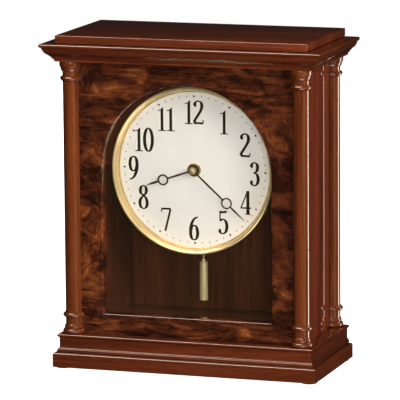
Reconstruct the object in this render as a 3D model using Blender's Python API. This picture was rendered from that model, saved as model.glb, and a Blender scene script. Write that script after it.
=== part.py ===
"""Mantel clock: an arched wooden case with four turned columns, a brass-bezelled dial,
a quartz movement, a short pendulum and a hinged back door.

Frame: +X to the clock's right as seen from the front, -Y towards the viewer, +Z up.
The origin is the middle of the footprint, on the surface the clock stands on.
Sizes below are millimetres; meshes are written in metres.
"""
import math

import bmesh
import bpy
from mathutils import Vector
from mathutils.geometry import tessellate_polygon

mm = 0.001

# Fits
gap = 0.3                      # between glued or resting pieces
running_gap = 0.15             # between a pin and its hole

# Case box
case_width = 211.0             # over the side panels
case_depth = 102.0             # front panel face to the back plane
clock_height = 298.0
panel_thickness = 10.0         # front panel
side_thickness = 8.0
side_extra = 2.7               # mouldings stand this much further out at the sides

# Base
pad_thickness = 0.7
pad_radius = 7.0
pad_back_inset = 12.0
plinth_reach = 13.8
plinth_height = 14.0
plinth_round = 1.9
plinth_rail = 16.0
rear_rail_thickness = 12.0
moulding_reach = 10.6
moulding_height = 16.5
moulding_seat = 3.2            # moulding's top carries this much behind the front panel
floor_thickness = 9.2

# Head
top_thickness = 7.1
top_reveal_side = 13.5
top_reveal_front = 6.3
cornice_reach = 20.6
cornice_foot = 9.8
cornice_height = 16.6
case_top_thickness = 8.0

# Columns
shaft_radius = 7.3
capital_radius = 10.0
bead_radius = 9.6
foot_ring_radius = 8.2

# Opening, glass and lining
opening_reveal = 3.5           # opening's edge outside the bezel
opening_sill = 49.4
arch_margin = 18.8             # crown of the arch below the cornice
glass_thickness = 2.5
glass_overlap = 6.0
lining_inset = 4.5
lining_thickness = 2.5
bead_height = 6.7
bead_depth = 5.0

# Dial group
dial_rise = 0.5                # dial centre above the arch's own centre
dial_thickness = 1.0
bezel_radius = 74.5
bezel_wall = 3.7               # rim of the dial plate inside the bezel
bezel_cover = 6.5              # bezel's width as seen from the front
bezel_front = 8.6              # bezel's rim before the dial face
crystal_ledge = 2.7            # crystal's seat behind the rim
crystal_thickness = 1.0
crystal_sag = 3.5
crystal_air = 0.5              # between the crystal and the glass pane
dial_board_thickness = 6.0
minute_margin = 4.5            # minute hand's tip inside the bezel
hour_short = 16.1              # hour hand shorter than the minute hand
minute_tip = 20.9              # from the ring's middle to the tip
hour_tip = 17.1
ring_radius = 5.0
nut_radius = 6.2
nut_thickness = 1.2
hour_lift = 3.0                # hands' front faces before the dial face
hour_thickness = 0.8
minute_lift = 5.2
minute_thickness = 0.6
hour_boss = 5.2
minute_boss = 4.0
cap_radius = 3.1
cap_height = 3.0
hour_angle = 251.0             # clockwise from twelve, eight twenty-two
minute_angle = 132.0

# Movement
movement_half_width = 46.0
movement_above = 48.0
movement_below = 52.0
movement_depth = 30.0
cover_wall = 2.0
gear_module = 0.5
wheel_thickness = 1.5
arbor_radius = 1.0
hour_pipe_radius = 2.2
pipe_radius = 4.4              # threaded bush of the front cover
setting_shaft_radius = 1.2
setting_knob_radius = 7.0
setting_knob_depth = 4.9
speaker_radius = 16.0
speaker_depth = 7.7
coil_length = 22.0
coil_radius = 4.4
switch_travel = 8.0
switch_height = 6.0
battery_radius = 7.1
battery_length = 50.5

# Pendulum
pendulum_inset = 6.3           # lever plane before the movement's back
pivot_drop = 30.0              # below the dial centre
pendulum_length = 91.0         # pivot to the foot of the bob
lever_length = 34.0
rod_radius = 0.75
bob_radius = 3.7
bob_neck = 2.2                 # cone over the bob
hanger_radius = 4.0
hanger_thickness = 1.2
pivot_radius = 1.5
bob_height = 35.0

# Back door
door_thickness = 7.0
door_recess = 4.5
hinge_radius = 1.9
hinge_pin_radius = 0.95
hinge_leaf = 1.0
hinge_half_height = 12.0
hinge_inset = 34.0
case_leaf_width = 9.0
door_leaf_width = 15.0
knob_radius = 6.0
knob_inset = 12.0
slot_count = 5
slot_pitch = 12.0
slot_half_width = 1.6
slot_half_length = 22.0
catch_depth = 12.4
strike_thickness = 0.6

# Levels and planes worked out from the sizes above
back_y = (case_depth + cornice_reach) / 2
front_y = back_y - case_depth
half_case = case_width / 2
ref_x = half_case + side_extra
plinth_low = pad_thickness + gap
moulding_low = plinth_height + gap
base_top = moulding_low + moulding_height - gap
case_low = base_top + gap
floor_top = case_low + floor_thickness
case_high = clock_height - top_thickness - gap
cornice_low = case_high - cornice_height + gap
column_high = cornice_low - gap
ceiling = case_high - case_top_thickness
glass_y = front_y + panel_thickness + gap
glass_back = glass_y + glass_thickness
opening_half_width = bezel_radius + opening_reveal
spring_height = cornice_low - arch_margin - opening_half_width
dial_height = spring_height + dial_rise
pivot_height = dial_height - pivot_drop
bob_low = pivot_height - pendulum_length
lining_x = opening_half_width + lining_inset
crystal_seat = bezel_front - crystal_ledge
dial_y = glass_back + crystal_air + crystal_sag + crystal_thickness + gap + crystal_seat
dial_radius = bezel_radius - bezel_wall
bezel_lip = bezel_radius - bezel_cover
minute_reach = bezel_lip - minute_margin
minute_ring = minute_reach - minute_tip
hour_reach = minute_reach - hour_short
hour_ring = hour_reach - hour_tip
movement_y = dial_y + dial_thickness + gap
movement_rear = movement_y + movement_depth
lever_y = movement_rear - pendulum_inset
door_outer = back_y - door_recess
door_inner = door_outer - door_thickness
inner_x = half_case - side_thickness


# ---- materials

def material(name, colour, roughness, metallic=0.0, alpha=1.0):
    made = bpy.data.materials.new(name)
    made.use_nodes = True
    shader = made.node_tree.nodes["Principled BSDF"]
    shader.inputs["Base Color"].default_value = (*colour, 1.0)
    shader.inputs["Roughness"].default_value = roughness
    shader.inputs["Metallic"].default_value = metallic
    shader.inputs["Alpha"].default_value = alpha
    made.diffuse_color = (*colour, alpha)
    return made


def materials():
    return {
        "cherry": material("cherry", (0.13, 0.035, 0.015), 0.2),
        "burl": material("burl", (0.16, 0.06, 0.025), 0.2),
        "lining": material("lining", (0.05, 0.02, 0.012), 0.4),
        "brass": material("brass", (0.80, 0.58, 0.28), 0.18, 1.0),
        "glass": material("glass", (0.9, 0.95, 0.93), 0.03, 0.0, 0.25),
        "dial": material("dial", (0.83, 0.80, 0.72), 0.45),
        "hands": material("hands", (0.05, 0.04, 0.03), 0.4, 0.6),
        "plastic": material("plastic", (0.03, 0.03, 0.032), 0.5),
        "steel": material("steel", (0.6, 0.6, 0.6), 0.3, 1.0),
        "board": material("board", (0.02, 0.16, 0.06), 0.5),
        "copper": material("copper", (0.72, 0.3, 0.15), 0.3, 1.0),
        "battery": material("battery", (0.05, 0.08, 0.25), 0.35),
        "felt": material("felt", (0.03, 0.05, 0.03), 0.95),
    }


# ---- mesh helpers

def make(name, points, faces, finish, pivot=(0.0, 0.0, 0.0)):
    """An object from points in millimetres, with its origin at the pivot."""
    origin = Vector(pivot)
    mesh = bpy.data.meshes.new(name)
    mesh.from_pydata([(Vector(p) - origin) * mm for p in points], [], faces)
    work = bmesh.new()
    work.from_mesh(mesh)
    bmesh.ops.recalc_face_normals(work, faces=work.faces)
    work.to_mesh(mesh)
    work.free()
    mesh.shade_smooth()
    mesh.set_sharp_from_angle(angle=math.radians(32))
    made = bpy.data.objects.new(name, mesh)
    made.location = origin * mm
    bpy.context.scene.collection.objects.link(made)
    if finish is not None:
        mesh.materials.append(finish)
    return made


def lift(axis, a, b, level):
    """A point of a flat drawing (a, b) at a level along the axis."""
    if axis == "X":
        return (level, a, b)
    if axis == "Y":
        return (a, level, b)
    return (a, b, level)


def prism(name, loops, axis, low, high, finish, pivot=(0.0, 0.0, 0.0)):
    """A flat outline with holes, made thick along an axis."""
    flat = [point for loop in loops for point in loop]
    count = len(flat)
    points = [lift(axis, a, b, low) for a, b in flat]
    points += [lift(axis, a, b, high) for a, b in flat]
    caps = tessellate_polygon([[Vector((a, b, 0)) for a, b in loop] for loop in loops])
    faces = [tuple(t) for t in caps]
    faces += [tuple(i + count for i in reversed(t)) for t in caps]
    start = 0
    for loop in loops:
        size = len(loop)
        for i in range(size):
            j = (i + 1) % size
            faces.append((start + i, start + j, start + j + count, start + i + count))
        start += size
    return make(name, points, faces, finish, pivot)


def rectangle(a0, a1, b0, b1):
    return [(a0, b0), (a1, b0), (a1, b1), (a0, b1)]


def box(name, x0, x1, y0, y1, z0, z1, finish, pivot=(0.0, 0.0, 0.0)):
    return prism(name, [rectangle(x0, x1, y0, y1)], "Z", z0, z1, finish, pivot)


def arc(centre, radius, start, end, steps):
    """Points of an arc, ends included; angles in degrees."""
    turns = [math.radians(start + (end - start) * i / steps) for i in range(steps + 1)]
    return [(centre[0] + radius * math.cos(t), centre[1] + radius * math.sin(t)) for t in turns]


def circle(centre, radius, steps, phase=0.0):
    return arc(centre, radius, phase, phase + 360, steps)[:-1]


def turned(name, profile, axis, centre, steps, finish, start=0.0, sweep=360.0, pivot=None):
    """A closed (radius, level) profile turned about a line along the axis."""
    whole = sweep >= 360.0
    rows = steps if whole else steps + 1
    points = []
    index = []
    for radius, level in profile:
        ring = []
        for k in range(rows):
            if radius == 0.0 and k > 0:
                ring.append(ring[0])
                continue
            angle = math.radians(start + sweep * k / steps)
            a = centre[0] + radius * math.cos(angle)
            b = centre[1] + radius * math.sin(angle)
            ring.append(len(points))
            points.append(lift(axis, a, b, level))
        index.append(ring)
    faces = []
    size = len(profile)
    for i in range(size):
        here, after = index[i], index[(i + 1) % size]
        for k in range(steps):
            m = (k + 1) % rows
            corners = [here[k], here[m], after[m], after[k]]
            corners = list(dict.fromkeys(corners))
            if len(corners) > 2:
                faces.append(tuple(corners))
    if not whole:
        caps = tessellate_polygon([[Vector((r, h, 0)) for r, h in profile]])
        faces += [tuple(index[i][0] for i in t) for t in caps]
        faces += [tuple(index[i][-1] for i in reversed(t)) for t in caps]
    return make(name, points, faces, finish, pivot or (0.0, 0.0, 0.0))


def strip(name, profile, start, end, finish):
    """A moulding: an (outward, height) profile run between two mitre lines."""
    size = len(profile)
    points = [(*start(out), z) for out, z in profile]
    points += [(*end(out), z) for out, z in profile]
    caps = tessellate_polygon([[Vector((out, z, 0)) for out, z in profile]])
    faces = [tuple(t) for t in caps]
    faces += [tuple(i + size for i in reversed(t)) for t in caps]
    for i in range(size):
        j = (i + 1) % size
        faces.append((i, j, j + size, i + size))
    return make(name, points, faces, finish)


def apply_solid(target, tool, operation):
    """A live exact Boolean with a hidden wire tool."""
    tool.hide_render = True
    tool.display_type = "WIRE"
    change = target.modifiers.new(tool.name, "BOOLEAN")
    change.operation = operation
    change.object = tool
    change.solver = "EXACT"


def cut(target, tool):
    apply_solid(target, tool, "DIFFERENCE")


def fuse(target, tool):
    apply_solid(target, tool, "UNION")


def slot_loop(centre, half_width, half_length, steps=4):
    """An upright slot with round ends, as a flat loop."""
    a, b = centre
    straight = half_length - half_width
    top = arc((a, b + straight), half_width, 0, 180, steps)
    bottom = arc((a, b - straight), half_width, 180, 360, steps)
    return top + bottom


# ---- case

def moulding_run(prefix, profile, side_profile, finish):
    """Front, left and right strips, mitred at the front corners, square at the back."""
    half_gap = gap / 2

    def front_end(side):
        return lambda out: (side * (ref_x + out - half_gap), front_y - out)

    def side_front(side):
        return lambda out: (side * (ref_x + out), front_y - out + half_gap)

    def side_back(side):
        return lambda out: (side * (ref_x + out), back_y)

    strip(prefix + "_front", profile, front_end(-1), front_end(1), finish)
    for word, side in (("left", -1), ("right", 1)):
        strip(f"{prefix}_{word}", side_profile, side_front(side), side_back(side), finish)


def base(finish):
    rail_inner = plinth_reach - plinth_rail
    rounded = arc((plinth_reach - plinth_round, plinth_height - plinth_round), plinth_round, 0, 90, 3)
    rail = [(rail_inner, plinth_low), (plinth_reach, plinth_low)] + rounded
    rail += [(rail_inner, plinth_height)]
    moulding_run("plinth", rail, rail, finish["cherry"])

    inner = -panel_thickness - moulding_seat
    neck = moulding_reach - 1.8
    low, high = moulding_low, base_top
    section = [(inner, low), (moulding_reach - 1.4, low)]
    section += arc((moulding_reach - 1.4, low + 1.8), 1.4, -60, 60, 3)
    section += [(neck, low + 5.2), (neck, high - 4.5)]
    section += arc((moulding_reach - 1.2, high - 1.4), 1.2, -60, 60, 3)
    section += [(moulding_reach - 1.2, high), (inner, high)]
    moulding_run("base_moulding", section, section, finish["cherry"])

    rail_half = ref_x + inner - gap
    box("rear_rail", -rail_half, rail_half, back_y - rear_rail_thickness, back_y,
        plinth_low, base_top, finish["cherry"])
    box("base_board", -inner_x + gap, inner_x - gap, glass_y, back_y, case_low, floor_top, finish["lining"])

    pad_out = plinth_reach - plinth_rail / 2
    for word, side in (("left", -1), ("right", 1)):
        x = side * (ref_x + pad_out)
        spots = (("front", front_y - pad_out), ("rear", back_y - pad_back_inset))
        for row, y in spots:
            name = f"foot_pad_{row}_{word}"
            pad = [circle((x, y), pad_radius, 16)]
            prism(name, pad, "Z", 0.0, pad_thickness, finish["felt"])


def head(finish):
    foot = cornice_foot
    low, high = cornice_low, case_high
    nose = 1.7
    outer = [(foot, low), (foot, low + 2.3), (foot + 1.2, low + 2.6)]
    outer += [(foot + 4.6, low + 7.6), (cornice_reach - nose, high - 2 * nose - 0.4)]
    outer += arc((cornice_reach - nose, high - nose), nose, -90, 90, 4)
    front_profile = [(gap, low)] + outer + [(gap, high)]
    side_inner = gap - side_extra
    side_profile = [(side_inner, low)] + outer + [(side_inner, high)]
    moulding_run("cornice", front_profile, side_profile, finish["cherry"])

    half = ref_x + cornice_reach - top_reveal_side
    front = front_y - cornice_reach + top_reveal_front
    box("top_board", -half, half, front, back_y, case_high + gap, clock_height, finish["cherry"])
    box("case_top", -inner_x + gap, inner_x - gap, glass_y, back_y, ceiling, case_high, finish["lining"])


def column_profile():
    """Foot torus, ring, drum, bead, shaft, astragal, neck and bell-shaped cap."""
    low, high = case_low, column_high
    drum = shaft_radius
    profile = [(0.0, low), (capital_radius - 1.6, low)]
    profile += [(capital_radius - 0.1, low + 1.3), (capital_radius - 0.1, low + 3.2)]
    profile += [(foot_ring_radius, low + 4.6), (foot_ring_radius, low + 7.2)]
    profile += [(drum, low + 7.8), (drum, low + 14.2)]
    profile += [(bead_radius - 0.7, low + 14.8), (bead_radius, low + 16.8), (bead_radius - 0.7, low + 18.8)]
    profile += [(drum, low + 19.4), (drum, high - 17.6)]
    profile += [(bead_radius - 0.6, high - 17.0), (bead_radius, high - 15.0), (bead_radius - 0.6, high - 13.0)]
    profile += [(drum + 0.4, high - 12.4), (drum + 0.4, high - 8.0), (capital_radius - 0.9, high - 5.2)]
    profile += [(capital_radius, high - 4.0), (capital_radius, high), (0.0, high)]
    return profile


def columns(finish):
    """Three-quarter columns wrap the front corners; half columns back the side panels."""
    profile = column_profile()
    x = half_case + gap
    front = (x, front_y - gap)
    rear = back_y - capital_radius
    turned("column_front_right", profile, "Z", front, 15, finish["cherry"], -180, 270)
    turned("column_front_left", profile, "Z", (-x, front[1]), 15, finish["cherry"], 90, 270)
    turned("column_rear_right", profile, "Z", (x, rear), 10, finish["cherry"], -90, 180)
    turned("column_rear_left", profile, "Z", (-x, rear), 10, finish["cherry"], 90, 180)


def arch_loop(half_width, sill):
    """A doorway outline: straight jambs under a half circle."""
    return [(-half_width, sill), (half_width, sill)] + arc((0.0, spring_height), half_width, 0, 180, 32)


def shell(finish):
    front = rectangle(-half_case, half_case, case_low, case_high)
    opening = arch_loop(opening_half_width, opening_sill)
    prism("front_panel", [front, opening], "Y", front_y, front_y + panel_thickness, finish["burl"])
    for word, side in (("left", -1), ("right", 1)):
        xs = sorted((side * inner_x, side * half_case))
        box("side_panel_" + word, *xs, glass_y, back_y, case_low, case_high, finish["cherry"])
        xs = sorted((side * lining_x, side * (lining_x + lining_thickness)))
        lining_front = glass_back + gap
        lining_back = door_inner - 0.8
        box("lining_" + word, *xs, lining_front, lining_back, floor_top + gap, ceiling - gap,
            finish["lining"])
    pane = arch_loop(opening_half_width + glass_overlap, opening_sill - glass_overlap + gap)
    prism("glass_pane", [pane], "Y", glass_y, glass_y + glass_thickness, finish["glass"])
    bead_y = glass_back + gap
    bead_x = lining_x - gap
    box("glass_bead", -bead_x, bead_x, bead_y, bead_y + bead_depth,
        floor_top + gap, floor_top + gap + bead_height, finish["lining"])

    board_x = lining_x - gap
    notch_x = movement_half_width + 1.0
    notch_z = dial_height + movement_above + 1.0
    low = dial_height + 1.0
    high = ceiling - gap
    board = [(-board_x, low), (-notch_x, low), (-notch_x, notch_z), (notch_x, notch_z)]
    board += [(notch_x, low), (board_x, low), (board_x, high), (-board_x, high)]
    prism("dial_board", [board], "Y", movement_y, movement_y + dial_board_thickness, finish["lining"])


# ---- back door

def door_edges():
    """Left edge, right edge, bottom and top of the door."""
    hinge_side = -inner_x + gap + hinge_leaf + gap
    return hinge_side, inner_x - gap, floor_top + gap, ceiling - gap


def hinge_axis():
    return (-inner_x + gap + hinge_radius, back_y - 0.4 - hinge_radius)


def hinge_loops(flat):
    """Leaf outlines with the pin's hole; the case leaf runs forward, the door leaf sideways."""
    x, y = hinge_axis()
    meet = math.degrees(math.asin((hinge_radius - hinge_leaf) / hinge_radius))
    hole = circle((x, y), hinge_pin_radius + running_gap, 16)
    if flat == "case":
        end = y - case_leaf_width
        outline = [(x - hinge_radius, end), (x - hinge_radius + hinge_leaf, end)]
        outline += arc((x, y), hinge_radius, -90 - meet, 180, 14)
        return [outline, hole]
    reach = x + door_leaf_width
    outline = [(reach, y - hinge_radius), (reach, y - hinge_radius + hinge_leaf)]
    outline += arc((x, y), hinge_radius, -meet, 270, 14)
    return [outline, hole]


def back_door(finish):
    left, right, low, high = door_edges()
    axis = (*hinge_axis(), low)
    panel = [rectangle(left, right, low, high)]
    slot_z = dial_height - movement_below / 2
    for i in range(slot_count):
        slot_x = slot_pitch * (i - (slot_count - 1) / 2)
        panel.append(slot_loop((slot_x, slot_z), slot_half_width, slot_half_length))
    prism("back_door", panel, "Y", door_inner, door_outer, finish["lining"], axis)

    knob_x = right - knob_inset
    knob_z = (low + high) / 2
    face = door_outer + gap
    profile = [(0.0, face), (knob_radius - 2.4, face), (knob_radius - 2.4, face + 1.2)]
    profile += [(knob_radius, face + 2.2), (knob_radius - 0.5, back_y - gap), (0.0, back_y - gap)]
    turned("door_knob", profile, "Y", (knob_x, knob_z), 24, finish["brass"], pivot=axis)

    x, y = hinge_axis()
    half = hinge_half_height
    for word, z in (("lower", low + hinge_inset), ("upper", high - hinge_inset)):
        prism(f"hinge_{word}_case_leaf", hinge_loops("case"), "Z", z - half, z - gap / 2, finish["brass"])
        prism(f"hinge_{word}_door_leaf", hinge_loops("door"), "Z", z + gap / 2, z + half,
              finish["brass"], axis)
        pin = [circle((x, y), hinge_pin_radius, 16)]
        prism(f"hinge_{word}_pin", pin, "Z", z - half, z + half, finish["steel"])

    strike_y = door_inner - gap
    catch_x = lining_x + lining_thickness + gap
    strike_front = strike_y - strike_thickness
    box("strike_plate", catch_x + 1.0, inner_x - 1.5, strike_front, strike_y,
        knob_z - 9.0, knob_z + 9.0, finish["steel"], axis)
    box("magnet_catch", catch_x, inner_x - gap, strike_front - catch_depth, strike_front - gap,
        knob_z - 10.0, knob_z + 10.0, finish["plastic"])


# ---- dial, bezel and hands

def dial_group(finish):
    hub = (0.0, dial_height)
    hole = circle(hub, pipe_radius + gap, 24)
    face = circle(hub, dial_radius, 48)
    prism("dial_plate", [face, hole], "Y", dial_y, dial_y + dial_thickness, finish["dial"])

    back = dial_y + dial_thickness
    front = dial_y - bezel_front
    seat = front + crystal_ledge
    rim = bezel_radius - 1.5
    profile = [(dial_radius + gap, back), (bezel_radius, back), (bezel_radius, front + 2.6)]
    profile += [(bezel_radius - 0.4, front + 1.0), (rim, front), (rim - 0.9, front + 0.6)]
    profile += [(rim - 1.5, front + 1.6), (rim - 1.5, seat), (rim - 2.8, seat)]
    profile += [(bezel_lip, dial_y - gap - 0.3), (bezel_lip, dial_y - gap)]
    profile += [(dial_radius + gap, dial_y - gap)]
    turned("bezel", profile, "Y", hub, 48, finish["brass"])

    edge = rim - 1.5 - gap
    rest = seat - gap
    bend = (edge ** 2 + crystal_sag ** 2) / (2 * crystal_sag)
    dome = []
    for i in range(5):
        radius = edge * (1 - i / 4)
        drop = radius ** 2 / (2 * bend)
        dome.append((radius, rest - crystal_thickness - crystal_sag + drop))
    inside = [(radius, level + crystal_thickness) for radius, level in reversed(dome)]
    inside[-1] = (edge, rest)
    turned("crystal", dome + inside, "Y", hub, 48, finish["glass"])

    nut_low, nut_high = dial_y - gap - nut_thickness, dial_y - gap
    nut = [(pipe_radius + gap, nut_low), (nut_radius, nut_low)]
    nut += [(nut_radius, nut_high), (pipe_radius + gap, nut_high)]
    turned("fixing_nut", nut, "Y", hub, 24, finish["brass"])


def hand_loops(angle, boss, hole, ring, reach, stem, tip_width):
    """A hand lying along its angle: round boss, stem, open ring and a tapering tip."""
    inner = ring_radius - 1.1
    at_boss = math.degrees(math.asin(stem / boss))
    at_ring = math.degrees(math.asin(stem / ring_radius))
    at_tip = math.degrees(math.asin(tip_width / ring_radius))
    outline = arc((0.0, 0.0), boss, at_boss, 360 - at_boss, 16)
    outline += arc((ring, 0.0), ring_radius, 180 + at_ring, 360 - at_tip, 8)
    outline += [(reach, -0.15), (reach, 0.15)]
    outline += arc((ring, 0.0), ring_radius, at_tip, 180 - at_ring, 8)
    loops = [outline, circle((0.0, 0.0), hole, 16), circle((ring, 0.0), inner, 16)]
    turn = math.radians(90 - angle)
    cos, sin = math.cos(turn), math.sin(turn)
    placed = []
    for loop in loops:
        placed.append([(a * cos - b * sin, dial_height + a * sin + b * cos) for a, b in loop])
    return placed


def hands(finish):
    hub = (0.0, dial_y, dial_height)
    arbor_hole = arbor_radius + gap
    hour_y = dial_y - hour_lift
    loops = hand_loops(hour_angle, hour_boss, hour_pipe_radius + gap, hour_ring, hour_reach, 0.8, 1.3)
    prism("hour_hand", loops, "Y", hour_y, hour_y + hour_thickness, finish["hands"], hub)
    minute_y = dial_y - minute_lift
    loops = hand_loops(minute_angle, minute_boss, arbor_hole, minute_ring, minute_reach, 0.6, 0.7)
    prism("minute_hand", loops, "Y", minute_y, minute_y + minute_thickness, finish["hands"], hub)
    low = minute_y - gap
    top = low - cap_height
    cap = [(arbor_hole, low), (cap_radius, low), (cap_radius, low - 1.0), (cap_radius - 0.7, top + 0.7)]
    cap += [(cap_radius - 1.9, top + 0.1), (0.0, top), (0.0, top + 0.7), (arbor_hole, top + 0.7)]
    turned("cap_nut", cap, "Y", (0.0, dial_height), 20, finish["brass"], pivot=hub)


# ---- movement

def gear_loop(teeth, centre, phase):
    """Straight-flanked teeth on the pitch circle; the phase is a tooth's own angle."""
    pitch = teeth * gear_module / 2
    top, root = pitch + 0.75 * gear_module, pitch - 1.15 * gear_module
    step = 360.0 / teeth
    shape = ((root, -0.30), (top, -0.10), (top, 0.10), (root, 0.30))
    loop = []
    for k in range(teeth):
        for radius, share in shape:
            angle = math.radians(phase + step * (k + share))
            loop.append((centre[0] + radius * math.cos(angle), centre[1] + radius * math.sin(angle)))
    return loop


def gear_train(finish):
    """Cannon pinion 10, motion wheel 30 and pinion 8, hour wheel 32, setting pinion 10."""
    z = dial_height
    spacing = 20 * gear_module
    hub, motion, setting = (0.0, z), (spacing, z), (2 * spacing, z)
    hour_low = movement_y + cover_wall + 0.5
    hour_high = hour_low + 1.3
    wheel_low = hour_high + 0.6
    wheel_high = wheel_low + wheel_thickness
    steel = finish["steel"]

    arbor_front = dial_y - minute_lift - 2.0
    arbor = prism("minute_arbor", [circle(hub, arbor_radius, 16)], "Y", arbor_front, wheel_high + 8.0,
                  steel, (hub[0], dial_y, z))
    pinion = prism("arbor_pinion_shape", [gear_loop(10, hub, 0.0)], "Y", wheel_low, wheel_high, steel)
    fuse(arbor, pinion)

    phase = 180 + 180 / 30
    wheel = prism("motion_wheel", [gear_loop(30, motion, phase)], "Y", wheel_low, wheel_high,
                  finish["brass"], (motion[0], wheel_low, z))
    small = prism("motion_pinion_shape", [gear_loop(8, motion, 180 + 180 / 8)], "Y",
                  hour_low, wheel_low + 0.5, steel)
    fuse(wheel, small)
    bore = prism("motion_bore_shape", [circle(motion, 0.9, 12)], "Y", hour_low - 1, wheel_high + 1, None)
    cut(wheel, bore)

    pipe = prism("hour_wheel", [gear_loop(32, hub, 0.0)], "Y", hour_low, hour_high,
                 finish["brass"], (hub[0], dial_y, z))
    pipe_front = dial_y - hour_lift - 0.4
    tube = prism("hour_pipe_shape", [circle(hub, hour_pipe_radius, 16)], "Y", pipe_front,
                 hour_high - 0.3, None)
    fuse(pipe, tube)
    clear = prism("hour_bore_shape", [circle(hub, arbor_radius + 0.35, 16)], "Y", pipe_front - 1,
                  hour_high + 1, None)
    cut(pipe, clear)

    rear = movement_rear
    knob_axis = (setting[0], rear, z)
    shaft, rim = setting_shaft_radius, setting_knob_radius
    knob_end = rear + gap + setting_knob_depth
    knob_profile = [(0.0, wheel_low), (shaft, wheel_low), (shaft, rear + gap), (rim - 0.4, rear + gap)]
    knob_profile += [(rim, rear + 1.0), (rim, knob_end - 0.8), (rim - 0.8, knob_end), (0.0, knob_end)]
    knob = turned("time_set_knob", knob_profile, "Y", setting, 24, finish["plastic"], pivot=knob_axis)
    teeth = prism("setting_pinion_shape", [gear_loop(10, setting, 180.0)], "Y", wheel_low, wheel_high, None)
    fuse(knob, teeth)
    return motion, setting, wheel_high


def movement(finish):
    motion, setting, wheel_high = gear_train(finish)
    z = dial_height
    w, low, high = movement_half_width, z - movement_below, z + movement_above
    wall = cover_wall
    split = movement_y + movement_depth / 2
    rear = movement_rear
    plastic = finish["plastic"]

    front = box("movement_front_cover", -w, w, movement_y, split, low, high, plastic)
    cut(front, box("front_room_shape", -w + wall, w - wall, movement_y + wall, split + 5,
                   low + wall, high - wall, None))
    fuse(front, prism("bush_shape", [circle((0.0, z), pipe_radius, 24)], "Y", dial_y - 1.8,
                      movement_y + 1.0, None))
    cut(front, prism("bush_bore_shape", [circle((0.0, z), 2.5, 20)], "Y", dial_y - 6,
                     movement_y + wall + 0.1, None))
    fuse(front, prism("post_shape", [circle(motion, 0.6, 12)], "Y", movement_y + 1.0,
                      wheel_high + 1.0, None))

    back = box("movement_back_cover", -w, w, split + gap, rear, low, high, plastic)
    cut(back, box("back_room_shape", -w + wall, w - wall, split - 5, rear - wall, low + wall,
                  high - wall, None))
    bay_z = high - 16.0
    bay_x = battery_length / 2 + 0.8
    bay_half = battery_radius + 0.9
    bay_floor = rear - 2 * battery_radius + 0.6
    fuse(back, box("bay_block_shape", -bay_x - wall, bay_x + wall, bay_floor - wall, rear - 0.5,
                   bay_z - bay_half - wall, bay_z + bay_half + wall, None))
    cut(back, box("bay_shape", -bay_x, bay_x, bay_floor, rear + 5, bay_z - bay_half, bay_z + bay_half, None))
    fuse(back, prism("pivot_shape", [circle((0.0, pivot_height), pivot_radius, 16)], "Y",
                     lever_y - 2.0, rear - 0.5, None))
    cut(back, box("lever_slot_shape", -9.0, 9.0, lever_y - 3.0, lever_y + 3.0,
                  low - 5, low + wall + 1, None))
    knob_hole = [circle(setting, setting_shaft_radius + 0.4, 16)]
    cut(back, prism("knob_hole_shape", knob_hole, "Y", rear - wall - 1, rear + 1, None))
    switch_x, switch_low = -27.0, z - 7.5
    slot_high = switch_low + switch_height + switch_travel + 0.5
    cut(back, box("switch_slot_shape", switch_x - 1.5, switch_x + 1.5, rear - wall - 1, rear + 1,
                  switch_low - 0.5, slot_high, None))
    speaker_at = (10.0 + speaker_radius - movement_half_width - 6.0, z - 28.0)
    for i in range(3):
        loop = slot_loop((speaker_at[0] - 6.0 + 6.0 * i, speaker_at[1]), 1.2, 8.0)
        cut(back, prism(f"sound_slot_shape_{i}", [loop], "Y", rear - wall - 1, rear + 1, None))

    inner, outer = 1.2, 3.0
    stem = [(-inner, rear - 4.0), (inner, rear - 4.0), (inner, rear + gap), (outer, rear + gap)]
    stem += [(outer, rear + 2.2), (-outer, rear + 2.2), (-outer, rear + gap), (-inner, rear + gap)]
    stem = [(switch_x + x, y) for x, y in stem]
    prism("chime_switch", [stem], "Z", switch_low, switch_low + switch_height, plastic,
          (switch_x, rear, switch_low))

    cell_y = bay_floor + battery_radius + gap
    half = battery_length / 2
    cell = [(0.0, -half), (battery_radius, -half), (battery_radius, half - 1.2)]
    cell += [(2.7, half - 1.2), (2.7, half), (0.0, half)]
    turned("battery", cell, "X", (cell_y, bay_z), 24, finish["battery"])

    box("circuit_board", -w + wall + 1, w - wall - 1, movement_y + 9.0, movement_y + 10.4,
        low + wall + 2, z - 12.0, finish["board"])
    coil_low = -38.0
    coil_high = coil_low + coil_length
    wound = coil_radius - 0.8
    bobbin = [(0.0, coil_low), (coil_radius, coil_low), (coil_radius, coil_low + 1.0), (wound, coil_low + 1.0)]
    bobbin += [(wound, coil_high - 1.0), (coil_radius, coil_high - 1.0), (coil_radius, coil_high)]
    bobbin += [(0.0, coil_high)]
    turned("coil", bobbin, "X", (movement_y + 9.0, z + 14.0), 16, finish["copper"])
    flange = rear - wall - gap
    magnet = speaker_radius / 2
    drum = [(0.0, flange), (speaker_radius, flange), (speaker_radius, flange - 2.7), (magnet, flange - 3.7)]
    drum += [(magnet, flange - speaker_depth), (0.0, flange - speaker_depth)]
    turned("speaker", drum, "Y", speaker_at, 24, finish["steel"])


# ---- pendulum

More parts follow.
